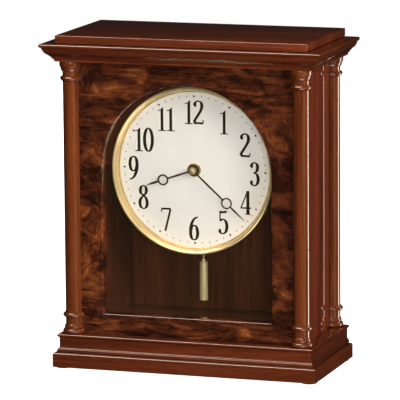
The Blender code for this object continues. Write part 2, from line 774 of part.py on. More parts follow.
def pendulum(finish):
    rod_y = lever_y - 2.0
    pivot = (0.0, lever_y, pivot_height)
    top = (0.0, pivot_height)
    foot = (0.0, pivot_height - lever_length)
    plate = arc(top, hanger_radius, 0, 180, 8) + arc(foot, hanger_radius - 1.6, 180, 360, 8)
    holes = [circle(top, pivot_radius + gap, 16), circle(foot, rod_radius + 0.4, 12)]
    half = hanger_thickness / 2
    prism("pendulum_hanger", [plate] + holes, "Y", lever_y - half, lever_y + half, finish["plastic"], pivot)

    bob_high = bob_low + bob_height
    hook = [(rod_y, bob_high - 4.0), (rod_y, foot[1] - 1.4), (rod_y + 0.5, foot[1] - 0.4)]
    hook += [(rod_y + 1.3, foot[1]), (rod_y + 2.9, foot[1]), (rod_y + 3.6, foot[1] - 0.5)]
    hook += [(rod_y + 3.8, foot[1] - 1.4), (rod_y + 3.8, foot[1] - 3.6)]
    curve = bpy.data.curves.new("pendulum_rod", "CURVE")
    curve.dimensions = "3D"
    curve.bevel_depth = rod_radius * mm
    curve.bevel_resolution = 2
    curve.use_fill_caps = True
    line = curve.splines.new("POLY")
    line.points.add(len(hook) - 1)
    for point, (y, z) in zip(line.points, hook):
        point.co = (0.0, (y - pivot[1]) * mm, (z - pivot[2]) * mm, 1.0)
    rod = bpy.data.objects.new("pendulum_rod", curve)
    rod.location = Vector(pivot) * mm
    bpy.context.scene.collection.objects.link(rod)
    curve.materials.append(finish["brass"])

    bore = rod_radius + gap
    bob = [(0.0, bob_low), (bob_radius - 0.5, bob_low), (bob_radius, bob_low + 0.5)]
    neck_high = bob_high + bob_neck
    bob += [(bob_radius, bob_high - 0.5), (bob_radius - 0.5, bob_high), (1.8, neck_high)]
    bob += [(bore, neck_high), (bore, bob_high - 4.3), (0.0, bob_high - 4.3)]
    turned("pendulum_bob", bob, "Z", (0.0, rod_y), 24, finish["brass"], pivot=pivot)


def main():
    for old in list(bpy.data.objects):
        bpy.data.objects.remove(old)
    finish = materials()
    base(finish)
    head(finish)
    columns(finish)
    shell(finish)
    back_door(finish)
    dial_group(finish)
    hands(finish)
    movement(finish)
    pendulum(finish)


main()
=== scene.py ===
import math

import bmesh
import bpy
import numpy as np
from mathutils import Matrix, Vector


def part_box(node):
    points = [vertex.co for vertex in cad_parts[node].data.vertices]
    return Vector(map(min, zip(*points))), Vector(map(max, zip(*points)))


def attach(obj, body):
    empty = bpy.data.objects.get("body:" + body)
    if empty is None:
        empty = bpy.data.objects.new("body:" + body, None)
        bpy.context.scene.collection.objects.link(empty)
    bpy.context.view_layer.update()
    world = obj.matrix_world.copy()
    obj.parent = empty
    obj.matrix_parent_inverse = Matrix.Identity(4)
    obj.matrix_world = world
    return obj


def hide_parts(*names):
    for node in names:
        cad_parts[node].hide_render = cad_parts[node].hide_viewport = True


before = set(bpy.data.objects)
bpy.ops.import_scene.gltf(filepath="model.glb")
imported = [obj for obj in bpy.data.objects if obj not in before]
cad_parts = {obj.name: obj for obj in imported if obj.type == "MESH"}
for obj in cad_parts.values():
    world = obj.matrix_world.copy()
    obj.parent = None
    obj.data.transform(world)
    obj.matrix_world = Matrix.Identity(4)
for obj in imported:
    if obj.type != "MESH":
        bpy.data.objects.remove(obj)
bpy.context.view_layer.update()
mm = 0.001
print("frame loaded:", len(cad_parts), "nodes")


# Lowest and highest corner of a CAD node, in millimetres.
def span(node):
    low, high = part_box(node)
    return np.array(low) / mm, np.array(high) / mm


# base_moulding_front becomes baseMouldingFront.
def camel(node):
    first, *rest = node.split("_")
    return first + "".join(word.capitalize() for word in rest)


# Surfaces, all in millimetres until they become a mesh

# Quads between neighbouring points of a rows x columns grid, joined round where it wraps.
def gridFaces(rows, columns, wrapRows=False, wrapColumns=False):
    row = np.arange(rows if wrapRows else rows - 1)
    column = np.arange(columns if wrapColumns else columns - 1)
    row, column = np.meshgrid(row, column, indexing="ij")
    nextRow, nextColumn = (row + 1) % rows, (column + 1) % columns
    corners = [row * columns + column, row * columns + nextColumn,
               nextRow * columns + nextColumn, nextRow * columns + column]
    return np.stack(corners, -1).reshape(-1, 4)


# Half an ellipse standing out of a turned or moulded face:
# out = base + reach cos t, level = middle + half height sin t, for t from -90 to 90 degrees.
def bulge(base, reach, low, high, count=12):
    t = np.linspace(-np.pi / 2, np.pi / 2, count + 1)
    return np.column_stack([base + reach * np.cos(t), (low + high) / 2 + (high - low) / 2 * np.sin(t)])


# Quarter of an ellipse between two points; hollow curves run upright first, the others level first.
def sweepTo(start, end, hollow, count=10):
    t = np.linspace(0, np.pi / 2, count + 1)
    rise, run = (1 - np.cos(t), np.sin(t)) if hollow else (np.sin(t), 1 - np.cos(t))
    return np.column_stack([start[0] + (end[0] - start[0]) * rise, start[1] + (end[1] - start[1]) * run])


# Arc of a circle, angles in degrees.
def arcOf(centre, radius, start, end, count=10):
    t = np.radians(np.linspace(start, end, count + 1))
    return np.column_stack([centre[0] + radius * np.cos(t), centre[1] + radius * np.sin(t)])


def joined(*runs):
    return np.concatenate([np.atleast_2d(np.array(run, float)) for run in runs])


# A (radius, level) profile turned about a line:
# point(i, t) = centre + radius_i (cos t, sin t) across the line, level_i along it.
def turned(profile, axis, centre, steps=96, start=0.0, sweep=360.0, loop=False, ripple=None):
    whole = sweep >= 360.0
    t = np.radians(start + np.linspace(0.0, sweep, steps + 1))
    t = t[:-1] if whole else t
    radius = profile[:, :1] * np.ones_like(t)
    if ripple is not None:
        radius = radius + ripple(profile[:, :1], t)
    a = centre[0] + radius * np.cos(t)
    b = centre[1] + radius * np.sin(t)
    level = profile[:, 1:] * np.ones_like(t)
    order = {"X": (level, a, b), "Y": (a, level, b), "Z": (a, b, level)}[axis]
    points = np.stack(order, -1).reshape(-1, 3)
    faces = gridFaces(len(profile), len(t), loop, whole).tolist()
    if not whole:
        starts = np.arange(len(profile)) * len(t)
        faces += [starts.tolist(), (starts + len(t) - 1)[::-1].tolist()]
    return points, faces


# An (outward, height) profile carried along a straight run:
# point(i, s) = (start(outward_i), height_i) at s = 0 and (end(outward_i), height_i) at s = 1.
def moulded(profile, start, end):
    out, level = profile[:, 0], profile[:, 1]
    first = np.column_stack([*start(out), level])
    last = np.column_stack([*end(out), level])
    points = np.stack([first, last], 1).reshape(-1, 3)
    faces = gridFaces(len(profile), 2, True).tolist()
    ends = np.arange(len(profile)) * 2
    return points, faces + [ends.tolist(), (ends + 1)[::-1].tolist()]


# A rectangular section (half width w_i) carried along a flat path (a_i, b_i):
# point = path_i +- w_i normal_i, at the low and the high level of y.
def ribbon(path, half, low, high):
    along = np.gradient(path, axis=0)
    along /= np.linalg.norm(along, axis=1, keepdims=True)
    side = np.column_stack([-along[:, 1], along[:, 0]]) * np.reshape(half, (-1, 1))
    left, right = path + side, path - side
    ring = [(left, low), (right, low), (right, high), (left, high)]
    points = np.stack([np.column_stack([p[:, 0], np.full(len(p), y), p[:, 1]]) for p, y in ring], 1)
    last = (len(path) - 1) * 4
    faces = gridFaces(len(path), 4, False, True).tolist()
    return points.reshape(-1, 3), faces + [[3, 2, 1, 0], [last, last + 1, last + 2, last + 3]]


# Smooth curve through a few points: Catmull-Rom,
# p(s) = half of (2 b + (c - a) s + (2a - 5b + 4c - d) s^2 + (3b - a - 3c + d) s^3) on each stretch b to c.
def throughPoints(points, perStretch=10):
    p = np.array(points, float)
    if len(p) == 2:
        return p[0] + (p[1] - p[0]) * np.linspace(0, 1, 5)[:, None]
    padded = np.concatenate([[2 * p[0] - p[1]], p, [2 * p[-1] - p[-2]]])
    s = np.linspace(0, 1, perStretch, endpoint=False)[None, :, None]
    a, b, c, d = (padded[i:i + len(p) - 1][:, None, :] for i in range(4))
    curve = 2 * b + (c - a) * s + (2 * a - 5 * b + 4 * c - d) * s ** 2
    curve = (curve + (3 * b - a - 3 * c + d) * s ** 3) / 2
    return np.concatenate([curve.reshape(-1, p.shape[1]), p[-1:]])


# A round bar along a curve in space: point(i, t) = path_i + radius (across_i cos t + other_i sin t).
def tube(path, radius, sides=16):
    along = np.gradient(path, axis=0)
    along /= np.linalg.norm(along, axis=1, keepdims=True)
    across = np.cross(along, [1.0, 0.0, 0.0])
    across /= np.linalg.norm(across, axis=1, keepdims=True)
    other = np.cross(along, across)
    t = np.linspace(0, 2 * np.pi, sides, endpoint=False)[None, :, None]
    points = path[:, None] + radius * (across[:, None] * np.cos(t) + other[:, None] * np.sin(t))
    last = (len(path) - 1) * sides
    caps = [list(range(sides))[::-1], list(range(last, last + sides))]
    return points.reshape(-1, 3), gridFaces(len(path), sides, False, True).tolist() + caps


def boxShell(low, high):
    x, y, z = np.meshgrid(*zip(low, high), indexing="ij")
    points = np.stack([x, y, z], -1).reshape(-1, 3)
    return points, [[0, 1, 3, 2], [4, 6, 7, 5], [0, 4, 5, 1], [2, 3, 7, 6], [0, 2, 6, 4], [1, 5, 7, 3]]


# Shells become one object, with its finishes by name, that rides on a body and stands for CAD nodes.
def makePiece(name, shells, looks, body, nodes=(), sharp=32.0, ease=0.0):
    points, faces, marks, count = [], [], [], 0
    for shell in shells:
        points.append(shell[0])
        faces += [[corner + count for corner in face] for face in shell[1]]
        marks += [shell[2] if len(shell) > 2 else 0] * len(shell[1])
        count += len(shell[0])
    mesh = bpy.data.meshes.new(name)
    mesh.from_pydata((np.concatenate(points) * mm).tolist(), [], faces)
    mesh.polygons.foreach_set("material_index", marks)
    work = bmesh.new()
    work.from_mesh(mesh)
    bmesh.ops.remove_doubles(work, verts=work.verts, dist=5e-7)
    bmesh.ops.recalc_face_normals(work, faces=work.faces)
    if ease:
        edges = [e for e in work.edges if e.calc_face_angle(0.0) > math.radians(40)]
        bmesh.ops.bevel(work, geom=edges, offset=ease * mm, segments=4, profile=0.5,
                        affect="EDGES", clamp_overlap=True)
    work.to_mesh(mesh)
    work.free()
    mesh.shade_smooth()
    mesh.set_sharp_from_angle(angle=math.radians(sharp))
    for look in [looks] if isinstance(looks, str) else looks:
        mesh.materials.append(finish[look])
    piece = bpy.data.objects.new(name, mesh)
    bpy.context.scene.collection.objects.link(piece)
    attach(piece, body)
    if nodes:
        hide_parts(*nodes)
    return piece


# Material helpers

# sRGB 0-255 to the linear colour that a shader reads.
def tone(red, green, blue):
    c = np.array([red, green, blue]) / 255.0
    linear = np.where(c <= 0.04045, c / 12.92, ((c + 0.055) / 1.055) ** 2.4)
    return (*linear.tolist(), 1.0)


def startMaterial(name, settings):
    made = bpy.data.materials.new(name)
    made.use_nodes = True
    shader = made.node_tree.nodes["Principled BSDF"]
    for socket, value in settings.items():
        shader.inputs[socket].default_value = value
    return made, made.node_tree, shader


def addNode(tree, kind, values=None, **properties):
    node = tree.nodes.new(kind)
    for key, value in properties.items():
        setattr(node, key, value)
    for key, value in (values or {}).items():
        node.inputs[key].default_value = value
    return node


def placed(tree, scale=(1, 1, 1), turn=(0, 0, 0), shift=(0, 0, 0)):
    coordinates = addNode(tree, "ShaderNodeTexCoord")
    mapping = addNode(tree, "ShaderNodeMapping", {"Scale": scale, "Rotation": turn, "Location": shift})
    tree.links.new(coordinates.outputs["Object"], mapping.inputs["Vector"])
    return mapping.outputs["Vector"]


def noiseOf(tree, vector, scale, detail=5.0, roughness=0.55, distortion=0.0, output="Fac"):
    values = {"Scale": scale, "Detail": detail, "Roughness": roughness, "Distortion": distortion}
    node = addNode(tree, "ShaderNodeTexNoise", values)
    tree.links.new(vector, node.inputs["Vector"])
    return node.outputs[output]


def rampOf(tree, factor, stops):
    ramp = addNode(tree, "ShaderNodeValToRGB")
    marks = ramp.color_ramp.elements
    while len(marks) < len(stops):
        marks.new(0.5)
    for mark, (position, colour) in zip(marks, stops):
        mark.position = position
        mark.color = colour
    tree.links.new(factor, ramp.inputs["Fac"])
    return ramp.outputs["Color"]


def blend(tree, factor, first, second, mode="MIX"):
    node = addNode(tree, "ShaderNodeMix", data_type="RGBA", blend_type=mode)
    for socket, value in ((node.inputs[0], factor), (node.inputs[6], first), (node.inputs[7], second)):
        if isinstance(value, bpy.types.NodeSocket):
            tree.links.new(value, socket)
        else:
            socket.default_value = value
    return node.outputs[2]


def rangeOf(tree, value, low, high, fromLow=0.0, fromHigh=1.0):
    node = addNode(tree, "ShaderNodeMapRange", {"From Min": fromLow, "From Max": fromHigh,
                                                "To Min": low, "To Max": high})
    tree.links.new(value, node.inputs["Value"])
    return node.outputs["Result"]


def mathOf(tree, first, second, operation="ADD"):
    node = addNode(tree, "ShaderNodeMath", operation=operation)
    for socket, value in zip(node.inputs, (first, second)):
        if isinstance(value, bpy.types.NodeSocket):
            tree.links.new(value, socket)
        else:
            socket.default_value = value
    return node.outputs[0]


# First times its share, plus second times its own.
def weighed(tree, first, firstShare, second, secondShare):
    return mathOf(tree, mathOf(tree, first, firstShare, "MULTIPLY"),
                  mathOf(tree, second, secondShare, "MULTIPLY"))


def colourFrom(tree, shader, pattern, stops):
    tree.links.new(rampOf(tree, pattern, stops), shader.inputs["Base Color"])


def roughnessFrom(tree, shader, pattern, low, high):
    tree.links.new(rangeOf(tree, pattern, low, high), shader.inputs["Roughness"])


def bumpInto(tree, shader, height, distance, strength=1.0, socket="Normal"):
    bump = addNode(tree, "ShaderNodeBump", {"Strength": strength, "Distance": distance})
    tree.links.new(height, bump.inputs["Height"])
    tree.links.new(bump.outputs["Normal"], shader.inputs[socket])


# Finishes

cherryLook = {
    "light": (108, 49, 25), "middle": (86, 37, 18), "dark": (57, 23, 11),
    "streakScale": 150.0, "stretch": 0.045, "poreScale": 1500.0,
    "roughness": 0.5, "coatRoughness": 0.04,
}


# Cherry under gloss lacquer; the grain runs along one axis of the clock.
def cherryWood(name, grainAxis, look=cherryLook, coat=1.0):
    settings = {"Coat Weight": coat, "Coat Roughness": look["coatRoughness"], "Coat IOR": 1.5,
                "Specular IOR Level": 0.0}
    made, tree, shader = startMaterial(name, settings)
    stretch = [1.0, 1.0, 1.0]
    stretch["XYZ".index(grainAxis)] = look["stretch"]
    grainPlace = placed(tree, stretch)
    streaks = noiseOf(tree, grainPlace, look["streakScale"], 6.0, 0.6, 0.8)
    drift = noiseOf(tree, placed(tree, stretch, shift=(3.1, 1.7, 0.4)), 26.0, 3.0, 0.5, 1.2)
    pores = noiseOf(tree, grainPlace, look["poreScale"], 3.0, 0.6)
    mixed = weighed(tree, streaks, 0.55, drift, 0.45)
    stops = [(0.34, tone(*look["dark"])), (0.5, tone(*look["middle"])), (0.68, tone(*look["light"]))]
    colour = rampOf(tree, mixed, stops)
    poreShade = rampOf(tree, pores, [(0.32, (0.45, 0.4, 0.38, 1)), (0.5, (1, 1, 1, 1))])
    tree.links.new(blend(tree, 0.7, colour, poreShade, "MULTIPLY"), shader.inputs["Base Color"])
    roughnessFrom(tree, shader, pores, look["roughness"] + 0.1, look["roughness"] - 0.08)
    bumpInto(tree, shader, pores, 0.00006, 0.5)
    return made


burlLook = {
    "deep": (18, 8, 4), "dark": (40, 17, 9), "middle": (68, 31, 16), "warm": (102, 52, 25),
    "light": (146, 87, 42),
    "blotch": 25.0, "curl": 66.0, "streak": 170.0, "fleck": 420.0, "warp": 0.05,
    "middleHeight": 0.145, "curledTo": 0.055, "streakedFrom": 0.1,
    "roughness": 0.5, "coatRoughness": 0.05,
}


# Burl veneer read at places pushed about by a slower noise. Long wavy streaks cross it at head and foot,
# and between them they give way to curled blotches: share = noise + calm - |height - middle| / fade.
def burlVeneer(name, look=burlLook):
    settings = {"Coat Weight": 1.0, "Coat Roughness": look["coatRoughness"], "Coat IOR": 1.5,
                "Specular IOR Level": 0.0}
    made, tree, shader = startMaterial(name, settings)

    def warpedPlace(scale, amount, speed):
        base = placed(tree, scale)
        push = noiseOf(tree, base, speed, 3.0, 0.55, output="Color")
        moved = addNode(tree, "ShaderNodeVectorMath", {1: (amount,) * 3}, operation="MULTIPLY_ADD")
        tree.links.new(push, moved.inputs[0])
        tree.links.new(base, moved.inputs[2])
        return moved.outputs[0]

    swirl = warpedPlace((1.0, 1.0, 1.15), look["warp"], 13.0)
    grain = warpedPlace((0.22, 1.0, 1.0), look["warp"] * 0.5, 16.0)
    blotch = noiseOf(tree, swirl, look["blotch"], 4.0, 0.55, 1.2)
    curl = noiseOf(tree, swirl, look["curl"], 5.0, 0.62, 1.8)
    streak = noiseOf(tree, grain, look["streak"], 4.0, 0.6, 0.5)
    fleck = noiseOf(tree, swirl, look["fleck"], 3.0, 0.6, 0.4)
    where = noiseOf(tree, placed(tree), 11.0, 2.0, 0.5)
    curled = weighed(tree, blotch, 0.55, curl, 0.45)
    wavy = weighed(tree, blotch, 0.4, streak, 0.6)
    upright = addNode(tree, "ShaderNodeSeparateXYZ")
    tree.links.new(placed(tree), upright.inputs[0])
    away = mathOf(tree, mathOf(tree, upright.outputs["Z"], look["middleHeight"], "SUBTRACT"), 0.0, "ABSOLUTE")
    calm = rangeOf(tree, away, 0.08, -0.16, look["curledTo"], look["streakedFrom"])
    share = rangeOf(tree, mathOf(tree, where, calm), 0.0, 1.0, 0.44, 0.56)
    figure = weighed(tree, blend(tree, share, wavy, curled), 0.9, fleck, 0.1)
    names = ("deep", "dark", "middle", "warm", "light")
    stops = [(p, tone(*look[n])) for p, n in zip((0.37, 0.45, 0.52, 0.59, 0.68), names)]
    colourFrom(tree, shader, figure, stops)
    roughnessFrom(tree, shader, fleck, look["roughness"] + 0.1, look["roughness"] - 0.1)
    bumpInto(tree, shader, fleck, 0.00004, 0.4)
    return made


# Polished brass with a faint cloudiness and fine turning marks.
def polishedBrass(name, colour=(244, 216, 156), roughness=0.25):
    made, tree, shader = startMaterial(name, {"Metallic": 0.67})
    cloud = noiseOf(tree, placed(tree), 60.0, 4.0, 0.6)
    marks = noiseOf(tree, placed(tree), 2600.0, 2.0, 0.5)
    tarnished = tone(*[c * 0.93 for c in colour])
    colourFrom(tree, shader, cloud, [(0.35, tarnished), (0.62, tone(*colour))])
    roughnessFrom(tree, shader, cloud, roughness * 0.85, roughness * 1.2)
    bumpInto(tree, shader, marks, 0.000004, 0.3)
    return made


# Clear glass; thin, so it stays a film that lets most light through and still mirrors.
def clearGlass(name, alpha=0.06, roughness=0.02, tint=(84, 66, 48)):
    settings = {"Alpha": alpha, "Roughness": roughness, "IOR": 2.4, "Base Color": tone(*tint)}
    made, tree, shader = startMaterial(name, settings)
    smear = noiseOf(tree, placed(tree), 30.0, 3.0, 0.5)
    roughnessFrom(tree, shader, smear, roughness, roughness * 2.5)
    return made


# A plain coloured finish whose colour and gloss vary at two scales, with a fine moulded or sprayed texture.
def mottled(name, colour, roughness, scale=120.0, depth=0.18, metallic=0.0, grit=0.00003, **extra):
    made, tree, shader = startMaterial(name, {"Metallic": metallic, **extra})
    broad = noiseOf(tree, placed(tree), scale, 4.0, 0.6)
    fine = noiseOf(tree, placed(tree), scale * 12, 3.0, 0.6)
    dull = tone(*[c * (1 - depth) for c in colour])
    colourFrom(tree, shader, broad, [(0.35, dull), (0.65, tone(*colour))])
    roughnessFrom(tree, shader, broad, roughness * 0.85, roughness * 1.2)
    bumpInto(tree, shader, fine, grit, 0.5)
    return made


# Stripes across one axis, as on a wound coil or a printed sleeve.
def banded(name, first, second, axis, scale, roughness, metallic=0.0, bump=0.0):
    made, tree, shader = startMaterial(name, {"Roughness": roughness, "Metallic": metallic})
    wave = addNode(tree, "ShaderNodeTexWave", {"Scale": scale, "Distortion": 0.15, "Detail": 2.0},
                   wave_type="BANDS", bands_direction=axis)
    tree.links.new(placed(tree), wave.inputs["Vector"])
    colourFrom(tree, shader, wave.outputs["Fac"], [(0.3, tone(*first)), (0.7, tone(*second))])
    if bump:
        bumpInto(tree, shader, wave.outputs["Fac"], bump)
    return made


# Bare battery sleeve: dark over most of its length, copper-coloured past the split.
def batterySleeve(name, split):
    made, tree, shader = startMaterial(name, {"Metallic": 0.6, "Roughness": 0.32, "Coat Weight": 0.6})
    across = addNode(tree, "ShaderNodeSeparateXYZ")
    tree.links.new(placed(tree), across.inputs["Vector"])
    side = rangeOf(tree, across.outputs["X"], 0.0, 1.0, split - 0.0002, split + 0.0002)
    scuff = noiseOf(tree, placed(tree), 300.0, 4.0, 0.6)
    dark = rampOf(tree, scuff, [(0.3, tone(24, 25, 28)), (0.7, tone(40, 41, 46))])
    warm = rampOf(tree, scuff, [(0.3, tone(158, 96, 52)), (0.7, tone(190, 122, 70))])
    tree.links.new(blend(tree, side, dark, warm), shader.inputs["Base Color"])
    return made


columnLook = {**cherryLook, "light": (112, 55, 25), "middle": (87, 40, 18), "dark": (56, 24, 11)}
panelLook = {**cherryLook, "light": (128, 58, 32), "middle": (104, 44, 25), "dark": (74, 29, 16)}
insideLook = {**cherryLook, "light": (84, 42, 23), "middle": (60, 29, 15), "dark": (37, 17, 9)}

finish = {
    "cherryX": cherryWood("cherryAlongX", "X"),
    "cherryY": cherryWood("cherryAlongY", "Y"),
    "column": cherryWood("columnCherry", "Z", columnLook),
    "panel": cherryWood("panelCherry", "Z", panelLook),
    "burl": burlVeneer("burlVeneer"),
    "inside": cherryWood("insideWood", "Z", {**insideLook, "coatRoughness": 0.14}, 0.5),
    "insideX": cherryWood("floorWood", "X", insideLook),
    "brass": polishedBrass("polishedBrass"),
    # Lighter copy of the polished brass for the bob: painted highlight, so the bob shows brighter than the
    # other brass
    "bobBrass": polishedBrass("bobBrass", (255, 234, 172), 0.32),
    "dullBrass": polishedBrass("gearBrass", (196, 158, 92), 0.3),
    "glass": clearGlass("clearGlass"),
    "bevelGlass": clearGlass("bevelGlass", 0.12, 0.1, (90, 56, 36)),
    "dial": mottled("creamDial", (252, 248, 237), 0.5, 60.0, 0.02, grit=0.00001),
    "ink": mottled("dialInk", (38, 31, 15), 0.6, 300.0, 0.2, **{"Specular IOR Level": 0.0}),
    "dots": mottled("dotInk", (116, 112, 100), 0.5, 300.0, 0.1),
    "hands": mottled("bronzeHands", (50, 41, 28), 0.4, 400.0, 0.3, 0.5),
    "plastic": mottled("blackPlastic", (44, 44, 46), 0.46, 200.0, 0.3, grit=0.00006),
    "greyPlastic": mottled("greyPlastic", (104, 104, 106), 0.4, 200.0, 0.2, grit=0.00004),
    "steel": mottled("brightSteel", (190, 188, 184), 0.26, 260.0, 0.14, 1.0),
    "circuit": banded("circuitBoard", (14, 62, 38), (24, 84, 52), "X", 500.0, 0.42, bump=0.00002),
    "copper": banded("coilWire", (120, 58, 30), (196, 112, 66), "X", 900.0, 0.3, 1.0, 0.00005),
    "felt": mottled("greenFelt", (34, 46, 36), 0.95, 500.0, 0.35, grit=0.0002, **{"Sheen Weight": 0.5}),
    "battery": batterySleeve("batterySleeve", 0.013),
}
print("finishes ready:", len(finish))


# Case: base, head, columns

caseLook = {"plinthRound": 2.0, "mitreGap": 0.1, "boardEase": 0.8}
sideHigh = span("side_panel_right")[1]
panelLow, panelHigh = span("front_panel")
moulding = span("base_moulding_front")
plinth = span("plinth_front")
cornice = span("cornice_front")
frontPlane, backPlane = panelLow[1], sideHigh[1]


# Front, left and right strips of one moulding. The outward measure starts at the front panel's face,
# and at the sides from the line that keeps the mitres at 45 degrees.
def mouldingRun(names, profile, tipHalf, tipFront, sideProfile=None):
    reach = profile[:, 0].max()
    sideLine = tipHalf - reach
    frontLine = tipFront + reach
    cut = caseLook["mitreGap"]
    for side, name in ((-1, names[1]), (1, names[2])):
        strip = moulded(profile if sideProfile is None else sideProfile,
                        lambda out: (side * (sideLine + out), frontLine - out + cut),
                        lambda out: (side * (sideLine + out), np.full_like(out, backPlane)))
        makePiece(camel(name), [strip], "cherryY", "case", [name], 40.0)
    strip = moulded(profile, lambda out: (-(sideLine + out - cut), frontLine - out),
                    lambda out: (sideLine + out - cut, frontLine - out))
    makePiece(camel(names[0]), [strip], "cherryX", "case", [names[0]], 40.0)


def sides(stem):
    return [f"{stem}_front", f"{stem}_left", f"{stem}_right"]


def buildBase():
    low, high = plinth[0][2], plinth[1][2]
    reach = frontPlane - plinth[0][1]
    inner = reach - (plinth[1][1] - plinth[0][1])
    rounding = caseLook["plinthRound"]
    profile = joined([(inner, low), (reach - 0.6, low)], arcOf((reach - 0.6, low + 0.6), 0.6, -90, 0, 4),
                     arcOf((reach - rounding, high - rounding), rounding, 0, 90), [(inner, high)])
    mouldingRun(sides("plinth"), profile, plinth[1][0], plinth[0][1])

    low, high = moulding[0][2], moulding[1][2]
    reach = frontPlane - moulding[0][1]
    inner = reach - (moulding[1][1] - moulding[0][1])
    neck = reach - 1.8
    profile = joined([(inner, low), (reach - 0.3, low), (reach, low + 0.3)],
                     arcOf((reach - 0.8, low + 2.2), 0.8, 0, 80, 6),
                     sweepTo((reach - 0.9, low + 3.2), (neck, low + 6.0), False, 8),
                     [(neck, high - 4.4)], sweepTo((neck, high - 4.4), (reach - 1.3, high - 3.0), True, 5),
                     bulge(reach - 1.3, 1.3, high - 2.7, high), [(inner, high)])
    mouldingRun(sides("base_moulding"), profile, moulding[1][0], moulding[0][1])


def buildHead():
    low, high = cornice[0][2], cornice[1][2]
    reach = frontPlane - cornice[0][1]
    foot = reach - 10.8
    nose = 1.7
    cove = throughPoints([(foot + 1.0, low + 2.3), (foot + 2.3, low + 4.2), (foot + 4.6, low + 6.4),
                          (foot + 6.9, low + 8.4), (reach - nose, high - 2 * nose)], 6)
    outer = joined([(foot, low), (foot, low + 1.6), (foot + 0.4, low + 2.0)], cove[:-1],
                   arcOf((reach - nose, high - nose), nose, -90, 90, 14))
    inner = 0.3
    profile = joined([(inner, low)], outer, [(inner, high)])
    sideInner = inner - (cornice[1][0] - reach - sideHigh[0])
    sideProfile = joined([(sideInner, low)], outer, [(sideInner, high)])
    mouldingRun(sides("cornice"), profile, cornice[1][0], cornice[0][1], sideProfile)
    makePiece("topBoard", [boxShell(*span("top_board"))], "cherryX", "case", ["top_board"],
              40.0, caseLook["boardEase"])


# Foot torus, ring, drum, bead, shaft, astragal, neck and bell-shaped cap, as (radius, level).
def columnProfile(low, high, cap):
    shaft = cap - 2.7
    bead = cap - 0.4
    neck = (shaft + 0.2, high - 9.0)
    return joined([(0.0, low)], bulge(cap - 2.3, 2.2, low, low + 4.4, 16),
                  [(cap - 2.3, low + 4.6)], bulge(cap - 2.1, 0.5, low + 4.9, low + 7.1, 6),
                  sweepTo((shaft + 0.6, low + 7.1), (shaft, low + 8.2), True, 5),
                  [(shaft, low + 14.2), (shaft + 0.7, low + 14.4)],
                  bulge(shaft + 0.7, bead - shaft - 0.7, low + 14.8, low + 18.6, 14),
                  [(shaft + 0.7, low + 19.0), (shaft, low + 19.6)],
                  [(shaft, high - 17.9), (shaft + 0.7, high - 17.3)],
                  bulge(shaft + 0.7, bead - shaft - 0.7, high - 17.0, high - 13.0, 14),
                  [(shaft + 0.7, high - 12.7), (shaft + 0.2, high - 12.4)],
                  [neck], sweepTo(neck, (cap - 0.9, high - 5.2), False),
                  arcOf((cap - 0.7, high - 4.2), 0.7, -80, 0, 6),
                  arcOf((cap - 0.4, high - 0.4), 0.4, 0, 90, 4), [(0.0, high)])


# Degrees each column goes round, and where its round part starts.
columnTurns = {"front": (270, {"left": 90, "right": -180}), "rear": (180, {"left": 90, "right": -90})}


def buildColumns():
    for row, (sweep, starts) in columnTurns.items():
        for side, start in starts.items():
            node = f"column_{row}_{side}"
            low, high = span(node)
            radius = (high[1] - low[1]) / 2
            x = (low[0] + high[0]) / 2
            if row == "rear":                          # half columns stand against the case
                x = low[0] if side == "right" else high[0]
            profile = columnProfile(low[2], high[2], radius)
            shell = turned(profile, "Z", (x, low[1] + radius), 72, start, sweep)
            makePiece(camel(node), [shell], "column", "case", [node], 34.0)


buildBase()
buildHead()
buildColumns()
print("case mouldings and columns made")


# Front panel and its glass

openingLook = {"edge": 1.4, "rimEase": 0.4, "overlap": 6.0, "glassBevel": 10.5, "glassEdge": 1.1,
               "steps": 192}
glassLow, glassHigh = span("glass_pane")
archCentre = glassHigh[2] - glassHigh[0]               # the pane's head is a half circle
openingHalf = glassHigh[0] - openingLook["overlap"]    # the panel holds the glass all round
openingSill = glassLow[2] + openingLook["overlap"] - 0.3


# Distance at angle t to the nearer of an upright line, across / |cos t|, and a level one, along / |sin t|.
def nearer(t, across, along):
    tiny = 1e-9                                        # keeps both divisions finite
    toUpright = across / np.maximum(np.abs(np.cos(t)), tiny)
    return np.minimum(toUpright, along / np.maximum(np.abs(np.sin(t)), tiny))


# A doorway outline: the radius above the spring line, and the nearer of jamb and sill below it.
def doorway(t, half, drop):
    return np.where(np.sin(t) >= 0, half, nearer(t, half, drop))


def rectangleAt(t, half, up, down):
    return nearer(t, half, np.where(np.sin(t) >= 0, up, down))


# Rings (distances at each angle, y) about the arch's centre, joined in their order.
def ringed(rings, t, wrap):
    rows = [np.column_stack([r * np.cos(t), np.full_like(t, y), archCentre + r * np.sin(t)])
            for r, y in rings]
    return np.concatenate(rows), gridFaces(len(rings), len(t), wrap, True).tolist()


def anglesWith(*corners):
    even = np.linspace(0, 2 * np.pi, openingLook["steps"], endpoint=False)
    extra = [math.atan2(z - archCentre, x) % (2 * np.pi) for x, z in corners]
    return np.unique(np.round(np.concatenate([even, extra]), 9))


